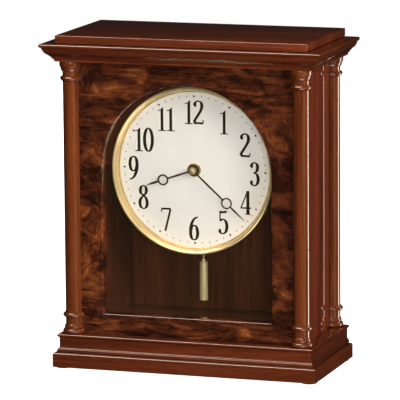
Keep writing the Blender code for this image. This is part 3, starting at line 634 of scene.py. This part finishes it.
def buildPanel():
    half, low, high = panelHigh[0], panelLow[2], panelHigh[2]
    up, down = high - archCentre, archCentre - low
    drop = archCentre - openingSill
    edge, ease = openingLook["edge"], openingLook["rimEase"]
    front, back = panelLow[1], panelHigh[1]
    corners = [(s * half, z) for s in (-1, 1) for z in (low, high)]
    corners += [(s * openingHalf, openingSill) for s in (-1, 1)]
    t = anglesWith(*corners)
    rim = [(rectangleAt(t, half, up, down), back), (rectangleAt(t, half, up, down), front + ease),
           (rectangleAt(t, half - ease, up - ease, down - ease), front)]
    turns = np.radians(np.linspace(0, 90, 7))
    rounded = [(doorway(t, openingHalf + edge * (1 - math.sin(a)), drop + edge * (1 - math.sin(a))),
                front + edge * (1 - math.cos(a))) for a in turns]
    rings = rim + rounded + [(doorway(t, openingHalf, drop), back)]
    makePiece("frontPanel", [ringed(rings, t, True)], "burl", "case", ["front_panel"], 38.0)


def buildGlass():
    half, drop = glassHigh[0], archCentre - glassLow[2]
    bevel, thin = openingLook["glassBevel"], openingLook["glassEdge"]
    t = anglesWith(*[(s * half, glassLow[2]) for s in (-1, 1)])
    front, back = glassLow[1], glassHigh[1]
    inner = doorway(t, half - bevel, drop - bevel)
    outer = doorway(t, half, drop)
    centre = np.zeros_like(t)
    face = ringed([(centre, front), (inner, front)], t, False)
    slope = ringed([(inner, front), (outer, back - thin)], t, False)
    rest = ringed([(outer, back - thin), (outer, back), (centre, back)], t, False)
    makePiece("bevelledGlass", [(*face, 0), (*slope, 1), (*rest, 0)], ["glass", "bevelGlass"],
              "case", ["glass_pane"], 20.0)


buildPanel()
buildGlass()
print("front panel and glass made")


# Dial, numerals and bezel

hub = sum(span("cap_nut")) / 2
dialAxis = (hub[0], hub[2])
dialLow, dialHigh = span("dial_plate")
bezelLow, bezelHigh = span("bezel")
dialLook = {
    "numeralHeight": 21.2, "spacing": 0.95, "thick": 0.138, "thin": 0.058, "fatness": 2.6,
    "inkDepth": 0.06, "inkStep": 0.008, "inkFoot": 0.02, "dotRise": 0.05,
    "minuteDots": 65.3, "minuteDot": 0.6, "hourDot": 0.9,
    "places": {1: (27.3, 43.2), 2: (46.9, 23.7), 3: (55.5, -1.4), 4: (47.1, -27.2),
               5: (26.2, -45.6), 6: (-0.8, -52.4), 7: (-26.8, -45.4), 8: (-47.9, -26.6),
               9: (-57.0, -0.8), 10: (-46.8, 24.9), 11: (-26.2, 43.9), 12: (0.0, 51.0)},
}

bezelLook = {"width": 5.4, "crystalThick": 1.0, "nutWall": 1.5}

# Strokes of each figure in a box one high: a run of points with "nib" width, or a fixed width;
# or a ball; or the outline of a shape.
figures = {
    "0": (0.44, [
        ("nib", "oval", (0.22, 0.5), (0.172, 0.482)),
    ]),
    "1": (0.34, [
        ("shape", [(0.125, 0.0), (0.25, 0.0), (0.25, 1.0), (0.225, 1.0), (0.13, 0.91), (0.0, 0.865),
            (0.0, 0.835), (0.125, 0.86)]),
        (0.044, [(0.02, 0.022), (0.355, 0.022)]),
    ]),
    "2": (0.45, [
        ("nib", [(0.06, 0.775), (0.09, 0.91), (0.21, 0.98), (0.335, 0.92), (0.372, 0.77), (0.325, 0.6),
            (0.19, 0.37), (0.075, 0.19), (0.035, 0.07)]),
        (0.088, [(0.03, 0.046), (0.18, 0.06), (0.4, 0.046)]),
        (0.05, [(0.405, 0.03), (0.435, 0.19)]),
        ("ball", (0.085, 0.785), 0.055),
    ]),
    "3": (0.42, [
        ("nib", [(0.065, 0.8), (0.1, 0.92), (0.205, 0.98), (0.31, 0.91), (0.335, 0.77), (0.29, 0.62),
            (0.165, 0.54)]),
        ("nib", [(0.165, 0.54), (0.3, 0.5), (0.362, 0.3), (0.32, 0.11), (0.2, 0.02), (0.09, 0.075),
            (0.05, 0.19)]),
        ("ball", (0.082, 0.8), 0.05),
        ("ball", (0.075, 0.185), 0.055),
    ]),
    "4": (0.45, [
        ("nib", [(0.32, 0.0), (0.32, 1.0)]),
        (0.055, [(0.3, 0.975), (0.02, 0.285)]),
        (0.058, [(0.0, 0.28), (0.455, 0.28)]),
        (0.044, [(0.2, 0.022), (0.435, 0.022)]),
    ]),
    "5": (0.44, [
        (0.09, [(0.085, 0.935), (0.21, 0.925), (0.38, 0.955)]),
        (0.055, [(0.085, 0.96), (0.085, 0.55)]),
        ("nib", [(0.085, 0.555), (0.2, 0.63), (0.33, 0.55), (0.38, 0.33), (0.33, 0.11), (0.2, 0.02),
            (0.1, 0.06), (0.05, 0.16)]),
        ("ball", (0.078, 0.165), 0.056),
    ]),
    "6": (0.45, [
        ("nib", [(0.4, 0.985), (0.3, 0.955), (0.18, 0.83), (0.092, 0.61), (0.066, 0.36), (0.085, 0.17),
            (0.14, 0.055), (0.225, 0.02), (0.33, 0.09), (0.378, 0.31), (0.33, 0.55), (0.235, 0.625),
            (0.13, 0.56), (0.085, 0.44)]),
    ]),
    "7": (0.46, [
        (0.085, [(0.035, 0.935), (0.2, 0.945), (0.43, 0.945)]),
        (0.05, [(0.022, 0.8), (0.04, 0.97)]),
        (0.09, [(0.425, 0.94), (0.345, 0.63), (0.265, 0.315), (0.185, 0.0)]),
    ]),
    "8": (0.45, [
        ("nib", [(0.225, 0.575), (0.115, 0.67), (0.09, 0.8), (0.13, 0.93), (0.225, 0.98), (0.32, 0.93),
            (0.355, 0.8), (0.325, 0.67), (0.225, 0.56), (0.11, 0.43), (0.065, 0.26), (0.11, 0.08),
            (0.225, 0.02), (0.34, 0.08), (0.385, 0.26), (0.335, 0.46), (0.225, 0.575)]),
    ]),
    "9": (0.45, [
        ("nib", [(0.05, 0.015), (0.15, 0.045), (0.27, 0.17), (0.358, 0.39), (0.384, 0.64),
            (0.365, 0.83), (0.31, 0.945), (0.225, 0.98), (0.12, 0.91), (0.072, 0.69), (0.12, 0.45),
            (0.215, 0.375), (0.32, 0.44), (0.365, 0.56)]),
    ]),
}


# One figure's shells, drawn from a lower left corner; each stroke lies a hair above the last.
# Nib width = thin + (thick - thin) |upward part of the direction| ^ fatness, so uprights are fat.
def figureShells(digit, corner, height):
    shells = []
    corner = np.array(corner)
    foot = dialLow[1] + dialLook["inkFoot"]
    thick, thin = dialLook["thick"], dialLook["thin"]
    for order, (kind, line, *rest) in enumerate(figures[digit][1]):
        top = dialLow[1] - dialLook["inkDepth"] - dialLook["inkStep"] * order
        if kind == "ball":
            outline = arcOf(corner + np.array(line) * height, rest[0] * height, 0, 360, 24)[:-1]
            shells.append(flatShape(outline, top, foot))
            continue
        if kind == "shape":
            shells.append(flatShape(corner + np.array(line) * height, top, foot))
            continue
        path = ovalPath(*rest) if line == "oval" else throughPoints(line)
        along = np.gradient(path, axis=0)
        along /= np.linalg.norm(along, axis=1, keepdims=True)
        if kind == "nib":
            width = thin + (thick - thin) * np.abs(along[:, 1]) ** dialLook["fatness"]
        else:
            width = np.full(len(path), kind)
        shells.append(ribbon(corner + path * height, width / 2 * height, top, foot))
    return shells


# Closed oval: point(t) = middle + (reach_a cos t, reach_b sin t).
def ovalPath(middle, reach):
    t = np.linspace(0, 2 * np.pi, 65)
    return np.column_stack([middle[0] + reach[0] * np.cos(t), middle[1] + reach[1] * np.sin(t)])


# A flat outline made thick between two levels of y.
def flatShape(outline, low, high):
    n = len(outline)
    rows = [np.column_stack([outline[:, 0], np.full(n, y), outline[:, 1]]) for y in (low, high)]
    caps = [list(range(n)), list(range(n, 2 * n))[::-1]]
    return np.concatenate(rows), gridFaces(2, n, False, True).tolist() + caps


def buildNumerals():
    height = dialLook["numeralHeight"]
    for hour in range(1, 13):
        text = str(hour)
        widths = [figures[d][0] * height for d in text]
        total = sum(widths) + dialLook["spacing"] * (len(text) - 1)
        place = dialLook["places"][hour]
        x = hub[0] + place[0] - total / 2
        z = hub[2] + place[1] - height / 2
        shells = []
        for digit, width in zip(text, widths):
            shells += figureShells(digit, (x, z), height)
            x += width + dialLook["spacing"]
        makePiece(f"numeral{hour}", shells, "ink", "case", (), 40.0)


# Discs on a circle: centre(k) = hub + ring radius (sin, cos) of k sixtieths of a turn.
def dotShells(indices, radius):
    shells = []
    ring, face = dialLook["minuteDots"], dialLow[1]
    for k in indices:
        turn = 2 * math.pi * k / 60
        centre = (hub[0] + ring * math.sin(turn), hub[2] + ring * math.cos(turn))
        outline = arcOf(centre, radius, 0, 360, 16)[:-1]
        shells.append(flatShape(outline, face - dialLook["dotRise"], face + dialLook["inkFoot"]))
    return shells


def buildDial():
    radius = dialHigh[0]
    hole = span("fixing_nut")[1][0] - bezelLook["nutWall"]
    front, back = dialLow[1], dialHigh[1]
    plate = joined([(hole, back), (radius - 0.2, back), (radius, back - 0.2), (radius, front + 0.25)],
                   arcOf((radius - 0.25, front + 0.25), 0.25, 0, -90, 4), [(hole, front)])
    makePiece("dialFace", [turned(plate, "Y", dialAxis, 128, loop=True)], "dial", "case",
              ["dial_plate"], 40.0)
    hours = range(0, 60, 5)
    makePiece("minuteDots", dotShells([k for k in range(60) if k % 5], dialLook["minuteDot"]), "dots",
              "case", (), 40.0)
    makePiece("hourDots", dotShells(hours, dialLook["hourDot"]), "ink", "case", (), 40.0)
    buildNumerals()


def buildBezel():
    radius, front, back = bezelHigh[0], bezelLow[1], bezelHigh[1]
    lip = radius - bezelLook["width"]
    wall = span("dial_plate")[1][0] + 0.3
    face = dialLow[1] - 0.3
    profile = joined([(wall, back), (radius - 0.3, back), (radius - 0.3, front + 4.2), (radius, front + 3.9)],
                     [(radius, front + 2.6)], arcOf((radius - 1.2, front + 1.2), 1.2, 0, -150, 20),
                     sweepTo((radius - 2.3, front + 2.1), (lip + 1.25, face - 1.5), False, 16),
                     [(lip + 1.2, face - 0.7), (lip + 0.85, face - 0.7)],
                     sweepTo((lip + 0.8, face - 1.2), (lip + 0.3, face - 0.6), False, 5),
                     arcOf((lip + 0.25, face - 0.25), 0.25, 180, 90, 4), [(wall, face)])
    makePiece("bezelRing", [turned(profile, "Y", dialAxis, 160, loop=True)], "brass", "case",
              ["bezel"], 40.0)


# Dome: level(r) = apex + sag (r / edge)^2, the same outside and inside.
def buildCrystal():
    low, high = span("crystal")
    edge, thick = high[0], bezelLook["crystalThick"]
    sag = high[1] - low[1] - thick
    r = np.linspace(edge, 0, 20)
    level = low[1] + sag * (r / edge) ** 2
    dome = joined(np.column_stack([r, level]), np.column_stack([r, level + thick])[::-1])
    makePiece("domedCrystal", [turned(dome, "Y", dialAxis, 128, loop=True)], "glass", "case",
              ["crystal"], 40.0)


def buildFixingNut():
    low, high = span("fixing_nut")
    outer, hole = high[0], high[0] - bezelLook["nutWall"]
    nut = joined([(hole, high[1]), (outer, high[1]), (outer, low[1] + 0.5)],
                 arcOf((outer - 0.5, low[1] + 0.5), 0.5, 0, -90, 5),
                 [(hole + 0.2, low[1]), (hole, low[1] + 0.2)])
    makePiece("fixingNut", [turned(nut, "Y", dialAxis, 64, loop=True)], "brass", "case",
              ["fixing_nut"])


buildDial()
buildBezel()
buildCrystal()
buildFixingNut()
print("dial, numerals and bezel made")


# Hands

handLook = {
    "hour": {"angle": 251.0, "ring": 30.3, "reach": 47.4, "boss": 5.2, "hole": 2.5,
             "stem": 0.72, "tip": 1.1, "ringOut": 5.0, "ringIn": 3.55},
    "minute": {"angle": 132.0, "ring": 41.6, "reach": 63.5, "boss": 4.0, "hole": 1.3,
               "stem": 0.68, "tip": 0.8, "ringOut": 5.0, "ringIn": 3.75},
}


# A bar with a ridge along its middle: half width w(u) at u along it,
# section (-w, back) (-w, shoulder) (0, ridge) (w, shoulder) (w, back).
def ridgedBar(u, half, back, shoulder, ridge):
    rows = [(-half, back), (-half, shoulder), (0 * half, ridge), (half, shoulder), (half, back)]
    points = np.stack([np.column_stack([u, np.full(len(u), y), v]) for v, y in rows], 1).reshape(-1, 3)
    last = (len(u) - 1) * 5
    faces = gridFaces(len(u), 5, False, True).tolist()
    return points, faces + [[4, 3, 2, 1, 0], list(range(last, last + 5))]


# Turns points drawn along +X about the hub, clockwise from twelve.
def turnHand(shell, angle):
    turn = math.radians(90 - angle)
    points = shell[0].copy()
    x, z = points[:, 0].copy(), points[:, 2].copy()
    points[:, 0] = hub[0] + x * math.cos(turn) - z * math.sin(turn)
    points[:, 2] = hub[2] + x * math.sin(turn) + z * math.cos(turn)
    return points, shell[1]


def buildHand(name, node, body, look):
    low, high = span(node)
    back, front = high[1], low[1]
    shoulder = front + (back - front) * 0.45
    boss, ring = look["boss"], look["ring"]
    collar = joined([(look["hole"], back), (boss, back), (boss, shoulder)],
                    sweepTo((boss, shoulder), (boss - 0.9, front), False, 5), [(look["hole"], front)])
    hoop = joined([(look["ringIn"], back), (look["ringOut"], back), (look["ringOut"], shoulder)],
                  [((look["ringIn"] + look["ringOut"]) / 2, front), (look["ringIn"], shoulder)])
    stemU = np.linspace(boss - 0.6, ring - look["ringOut"] + 0.4, 12)
    swell = 1 + 0.25 * np.sin(np.linspace(0, np.pi, 12))
    tipU = np.linspace(ring + look["ringOut"] - 0.4, look["reach"], 24)
    s = np.linspace(0, 1, 24)
    tipHalf = look["tip"] * (0.55 + 0.45 * np.sin(np.pi * np.minimum(s * 1.6, 0.5))) * (1 - s ** 1.6) + 0.1
    shells = [turned(collar, "Y", (0.0, 0.0), 48, loop=True), turned(hoop, "Y", (ring, 0.0), 48, loop=True),
              ridgedBar(stemU, look["stem"] * swell, back, shoulder, front),
              ridgedBar(tipU, tipHalf, back, shoulder, front)]
    shells = [turnHand(shell, look["angle"]) for shell in shells]
    makePiece(name, shells, "hands", body, [node])


def buildCap():
    low, high = span("cap_nut")
    radius, foot = high[0], high[1]
    profile = joined([(0.0, foot), (radius, foot), (radius, foot - 0.5), (radius - 0.25, foot - 0.75)],
                     sweepTo((radius - 0.5, foot - 0.8), (0.0, low[1]), False, 14))
    makePiece("handNut", [turned(profile, "Y", dialAxis, 64)], "brass", "minute_group",
              ["cap_nut"])


buildHand("hourHand", "hour_hand", "hour_group", handLook["hour"])
buildHand("minuteHand", "minute_hand", "minute_group", handLook["minute"])
buildCap()
print("hands made")


# Pendulum

pendulumLook = {"rod": 0.75, "neck": 2.2, "bobEase": 0.5}


def buildPendulum():
    low, high = span("pendulum_bob")
    x, y, _ = (low + high) / 2
    radius, ease = (high[0] - low[0]) / 2, pendulumLook["bobEase"]
    shoulder = high[2] - pendulumLook["neck"]
    bore = pendulumLook["rod"] + 0.3
    bob = joined([(0.0, low[2]), (radius - ease, low[2])],
                 arcOf((radius - ease, low[2] + ease), ease, -90, 0, 5),
                 arcOf((radius - ease, shoulder - ease), ease, 0, 90, 5),
                 sweepTo((2.4, shoulder), (1.5, high[2]), False, 6)[1:],
                 [(bore, high[2]), (bore, shoulder - 4.3), (0.0, shoulder - 4.3)])
    # The bob wears the lighter brass copy, a painted highlight.
    makePiece("pendulumBob", [turned(bob, "Z", (x, y), 64)], "bobBrass", "pendulum",
              ["pendulum_bob"])

    rodLow, rodHigh = span("pendulum_rod")
    r = pendulumLook["rod"]
    lowest, highest = rodLow[2], rodHigh[2] - r
    straight, hookEnd = rodLow[1] + r, rodHigh[1] - r
    middle, half = (straight + hookEnd) / 2, (hookEnd - straight) / 2
    hook = arcOf((middle, highest - half), half, 180, 0, 16)
    bend = highest - half
    line = joined([(straight, lowest), (straight, bend - 6.0), (straight, bend - 1.0)], hook,
                  [(hookEnd, bend - 1.7)])
    path = np.column_stack([np.full(len(line), x), line])
    makePiece("pendulumRod", [tube(path, r, 20)], "brass", "pendulum", ["pendulum_rod"])


buildPendulum()
print("pendulum made")


# Back: door furniture, setting knob, battery, screws and feet

backLook = {"screwHead": 1.8, "screwRise": 0.35, "slot": 0.35, "screwSpread": 2.9,
            "knurls": 36, "knurlDepth": 0.2, "padRound": 0.3}


# Countersunk screw head: a shallow dome with a straight slot cut across it,
# level(r, t) = rise (1 - 0.8 (r / R)^2), and nearly flat where |r sin t| is under the slot's half width.
def screwShell(centre, axis, outward, radius):
    rings, steps = 13, 48
    r = np.linspace(0, radius, rings)[:, None]
    t = np.linspace(0, 2 * np.pi, steps, endpoint=False)[None, :] + 0.01
    rise = backLook["screwRise"] * (1 - 0.8 * (r / radius) ** 2)
    rise = np.where(np.abs(r * np.sin(t)) < backLook["slot"], 0.03, rise) * np.ones_like(t)
    a, b = r * np.cos(t + 0.6), r * np.sin(t + 0.6)
    base = np.zeros_like(a)
    rows = []
    for height, reverse in ((rise, False), (base - 0.2, True)):
        level = outward * height
        grid = {"X": (level, a, b), "Y": (a, level, b)}[axis]
        grid = np.stack(grid, -1)
        rows.append(grid[::-1] if reverse else grid)
    points = np.concatenate(rows).reshape(-1, 3) + np.array(centre)
    return points, gridFaces(2 * rings, steps, False, True).tolist()


def buildDoorKnob():
    low, high = span("door_knob")
    x, _, z = (low + high) / 2
    radius, face, end = (high[0] - low[0]) / 2, low[1], high[1]
    knob = joined([(0.0, face), (radius - 1.8, face), (radius - 2.0, face + 0.3)],
                  sweepTo((radius - 2.4, face + 0.5), (radius - 0.5, face + 1.7), True, 6),
                  bulge(radius - 0.7, 0.7, face + 1.8, end - 0.6, 8), [(radius - 1.4, end - 0.2), (0.0, end)])
    makePiece("doorKnob", [turned(knob, "Y", (x, z), 64)], "brass", "door", ["door_knob"])


# Screws stand on the hinges' leaves, inside the case when the door is shut.
def buildScrews():
    for word in ("lower", "upper"):
        for body, axis, outward in (("door", "Y", -1), ("case", "X", 1)):
            low, high = span(f"hinge_{word}_{body}_leaf")
            x, y = (high[0] - 3.6, low[1] - 0.02) if body == "door" else (low[0] + 1.0, low[1] + 3.0)
            middle, spread = (low[2] + high[2]) / 2, backLook["screwSpread"]
            heads = [screwShell((x, y, middle + side * spread), axis, outward, backLook["screwHead"])
                     for side in (-1, 1)]
            name = f"hinge{word.capitalize()}{body.capitalize()}Screws"
            makePiece(name, heads, "steel", body, ())


# Knurled rim: radius + depth cos(knurls t) on the knob's edge, none on its shaft.
def buildSetKnob():
    low, high = span("time_set_knob")
    x, _, z = (low + high) / 2
    radius = (high[0] - low[0]) / 2
    rear, end = span("movement_back_cover")[1][1] + 0.3, high[1]
    inner = rear - 12.0                                # foot of the shaft, inside the movement
    profile = joined([(0.0, inner), (1.2, inner), (1.2, rear), (radius - 0.6, rear)],
                     arcOf((radius - 0.7, rear + 0.7), 0.5, -90, 0, 4),
                     arcOf((radius - 0.7, end - 0.8), 0.5, 0, 90, 4),
                     [(radius - 1.8, end - 0.3), (radius - 2.4, end - 0.9), (1.6, end - 0.9), (1.2, end),
                      (0.0, end)])

    def knurl(r, t):
        return np.where(r > radius - 0.9, backLook["knurlDepth"] * np.cos(backLook["knurls"] * t), 0.0)

    makePiece("setKnob", [turned(profile, "Y", (x, z), 288, ripple=knurl)], "greyPlastic",
              "setting_group", ["time_set_knob"])


# Cell: sleeve with rolled ends, a raised cap at +X.
def buildPenCell():
    low, high = span("battery")
    radius = (high[1] - low[1]) / 2
    centre = (low + high)[1:] / 2
    cell = joined([(0.0, low[0] + 0.3), (radius - 2.0, low[0] + 0.3), (radius - 1.2, low[0])],
                  arcOf((radius - 0.7, low[0] + 0.7), 0.7, -90, 0, 5),
                  arcOf((radius - 0.7, high[0] - 1.9), 0.7, 0, 90, 5),
                  [(radius - 1.6, high[0] - 1.5), (2.7, high[0] - 1.5)],
                  arcOf((2.3, high[0] - 0.4), 0.4, 0, 90, 4), [(0.0, high[0])])
    makePiece("penCell", [turned(cell, "X", centre, 64)], "battery", "case", ["battery"])


# Soft pads: the rim rolls over half their thickness.
def buildFeet():
    for row in ("front", "rear"):
        for side in ("left", "right"):
            node = f"foot_pad_{row}_{side}"
            low, high = span(node)
            roll = backLook["padRound"]
            rim = (high[0] - low[0]) / 2 - roll
            pad = joined([(0.0, low[2]), (rim, low[2])], bulge(rim, roll, low[2], high[2], 8),
                         [(0.0, high[2])])
            centre = (low + high)[:2] / 2
            makePiece(camel(node), [turned(pad, "Z", centre, 48)], "felt", "case", [node])


buildDoorKnob()
buildScrews()
buildSetKnob()
buildPenCell()
buildFeet()
print("back furniture and feet made")


# Finishes of the CAD nodes that stay in view

cadFinish = {
    "cherryX": ["rear_rail"],
    "panel": ["side_panel_left", "side_panel_right"],
    "inside": ["lining_left", "lining_right", "dial_board", "back_door"],
    "insideX": ["base_board", "case_top", "glass_bead"],
    "brass": ["hinge_lower_case_leaf", "hinge_upper_case_leaf",
              "hinge_lower_door_leaf", "hinge_upper_door_leaf"],
    "dullBrass": ["motion_wheel", "hour_wheel"],
    "steel": ["hinge_lower_pin", "hinge_upper_pin", "strike_plate", "minute_arbor", "speaker"],
    "plastic": ["magnet_catch", "movement_front_cover", "movement_back_cover", "pendulum_hanger"],
    "greyPlastic": ["chime_switch"],
    "circuit": ["circuit_board"],
    "copper": ["coil"],
}
for finishName, nodeNames in cadFinish.items():
    for nodeName in nodeNames:
        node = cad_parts[nodeName]
        node.data.materials.clear()
        node.data.materials.append(finish[finishName])
leftPlain = [n for n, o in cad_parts.items() if not o.hide_render
             and n not in [m for names in cadFinish.values() for m in names]]
print("CAD nodes without a finish:", leftPlain)


# Stage, light and camera

# Lamps give the light that scatters; sheens are seen in polished faces alone.
stageLook = {
    "floor": (205, 205, 205), "floorSize": 60.0, "floorGlow": 0.97, "backdropGlow": 1.0, "roomGlow": 0.012,
    "sky": (0.95, 0.97, 1.0, 1.0), "lampAim": (0, 0, 0.15),
    "lamps": {
        "key": {"turn": 58.0, "rise": 24.0, "distance": 1.7, "size": (0.9, 0.9), "power": 37.0},
        "fill": {"turn": -26.0, "rise": 40.0, "distance": 1.9, "size": (1.2, 0.8), "power": 5.5},
        "front": {"turn": 22.0, "rise": 8.0, "distance": 2.2, "size": (0.8, 0.5), "power": 41.0},
        "rear": {"turn": 200.0, "rise": 16.0, "distance": 1.9, "size": (1.2, 1.0), "power": 34.0},
        "left": {"turn": -95.0, "rise": 20.0, "distance": 1.9, "size": (1.0, 1.0), "power": 3.0},
    },
    "sheens": {
        "rightStrip": {"turn": 118.0, "rise": -14.0, "distance": 1.5, "size": (0.42, 0.95), "power": 19.0,
                       "colour": (1.0, 0.88, 0.78)},
        "frontEdgeStrip": {"turn": -18.0, "rise": 50.0, "distance": 1.6, "size": (1.6, 0.4), "power": 66.0,
                           "colour": (1.0, 0.84, 0.7)},
        "sideEdgeStrip": {"turn": 164.0, "rise": 48.0, "distance": 1.6, "size": (0.8, 0.5), "power": 11.0,
                          "colour": (1.0, 0.84, 0.7)},
        "frontCard": {"turn": 20.0, "rise": 12.0, "distance": 2.2, "size": (0.9, 0.6), "power": 8.0},
        "lowCard": {"turn": 34.0, "rise": -42.0, "distance": 1.6, "size": (1.1, 0.8), "power": 17.0},
        "warmBand": {"turn": 56.0, "rise": -8.0, "distance": 1.7, "size": (0.8, 0.8), "power": 2.0,
                     "colour": (1.0, 0.72, 0.4)},
    },
}
cameraLook = {"turn": 18.72, "rise": 9.84, "roll": -0.46, "distance": 3.26748, "lens": 332.2,
              "aim": (-0.00127, 0.0013, 0.14799)}


# Unit vector from the clock towards a place at a turn from the front and a rise above the floor.
def towards(turn, rise):
    a, e = math.radians(turn), math.radians(rise)
    return np.array([math.sin(a) * math.cos(e), -math.cos(a) * math.cos(e), math.sin(e)])


# Rotation whose columns are right, up and back, with the image rolled about back.
def facing(turn, rise, roll=0.0):
    back = towards(turn, rise)
    right = np.array([math.cos(math.radians(turn)), math.sin(math.radians(turn)), 0.0])
    up = np.cross(back, right)
    c, s = math.cos(math.radians(roll)), math.sin(math.radians(roll))
    return np.column_stack([right * c + up * s, -right * s + up * c, back])


def standAt(thing, aim, distance, turn, rise, roll=0.0):
    matrix = np.eye(4)
    matrix[:3, :3] = facing(turn, rise, roll)
    matrix[:3, 3] = np.array(aim) + towards(turn, rise) * distance
    thing.matrix_world = Matrix(matrix.tolist())
    bpy.context.scene.collection.objects.link(thing)


def buildStage():
    half = stageLook["floorSize"] / 2
    mesh = bpy.data.meshes.new("floor")
    corners = [(-half, -half, 0), (half, -half, 0), (half, half, 0), (-half, half, 0)]
    mesh.from_pydata(corners, [], [(0, 1, 2, 3)])
    floor = bpy.data.objects.new("floor", mesh)
    bpy.context.scene.collection.objects.link(floor)
    glow = {"Emission Color": (1, 1, 1, 1), "Emission Strength": stageLook["floorGlow"]}
    mesh.materials.append(mottled("paleFloor", stageLook["floor"], 0.6, 3.0, 0.01, grit=0.0, **glow))
    floor.visible_glossy = floor.visible_diffuse = floor.visible_shadow = False    # lamps light the clock

    for name, look in {**stageLook["lamps"], **stageLook["sheens"]}.items():
        light = bpy.data.lights.new(name, "AREA")
        light.shape = "RECTANGLE"
        light.size, light.size_y = look["size"]
        light.energy = look["power"]
        light.color = look.get("colour", (1.0, 1.0, 1.0))
        lamp = bpy.data.objects.new(name, light)
        lamp.visible_diffuse = name not in stageLook["sheens"]
        lamp.visible_glossy = name in stageLook["sheens"]
        standAt(lamp, stageLook["lampAim"], look["distance"], look["turn"], look["rise"])

    world = bpy.data.worlds.new("studio")
    bpy.context.scene.world = world
    world.use_nodes = True
    tree = world.node_tree
    sky = tree.nodes["Background"]
    sky.inputs["Color"].default_value = stageLook["sky"]
    path = addNode(tree, "ShaderNodeLightPath")
    strength = rangeOf(tree, path.outputs["Is Camera Ray"], stageLook["roomGlow"], stageLook["backdropGlow"])
    tree.links.new(strength, sky.inputs["Strength"])


def buildCamera():
    lens = bpy.data.cameras.new("camera")
    lens.lens = cameraLook["lens"]
    lens.sensor_width = 36.0
    lens.clip_end = 100.0
    camera = bpy.data.objects.new("camera", lens)
    standAt(camera, cameraLook["aim"], cameraLook["distance"], cameraLook["turn"], cameraLook["rise"],
            cameraLook["roll"])
    bpy.context.scene.camera = camera
    bpy.context.scene.view_settings.view_transform = "Standard"


buildStage()
buildCamera()
print("stage, light and camera set")
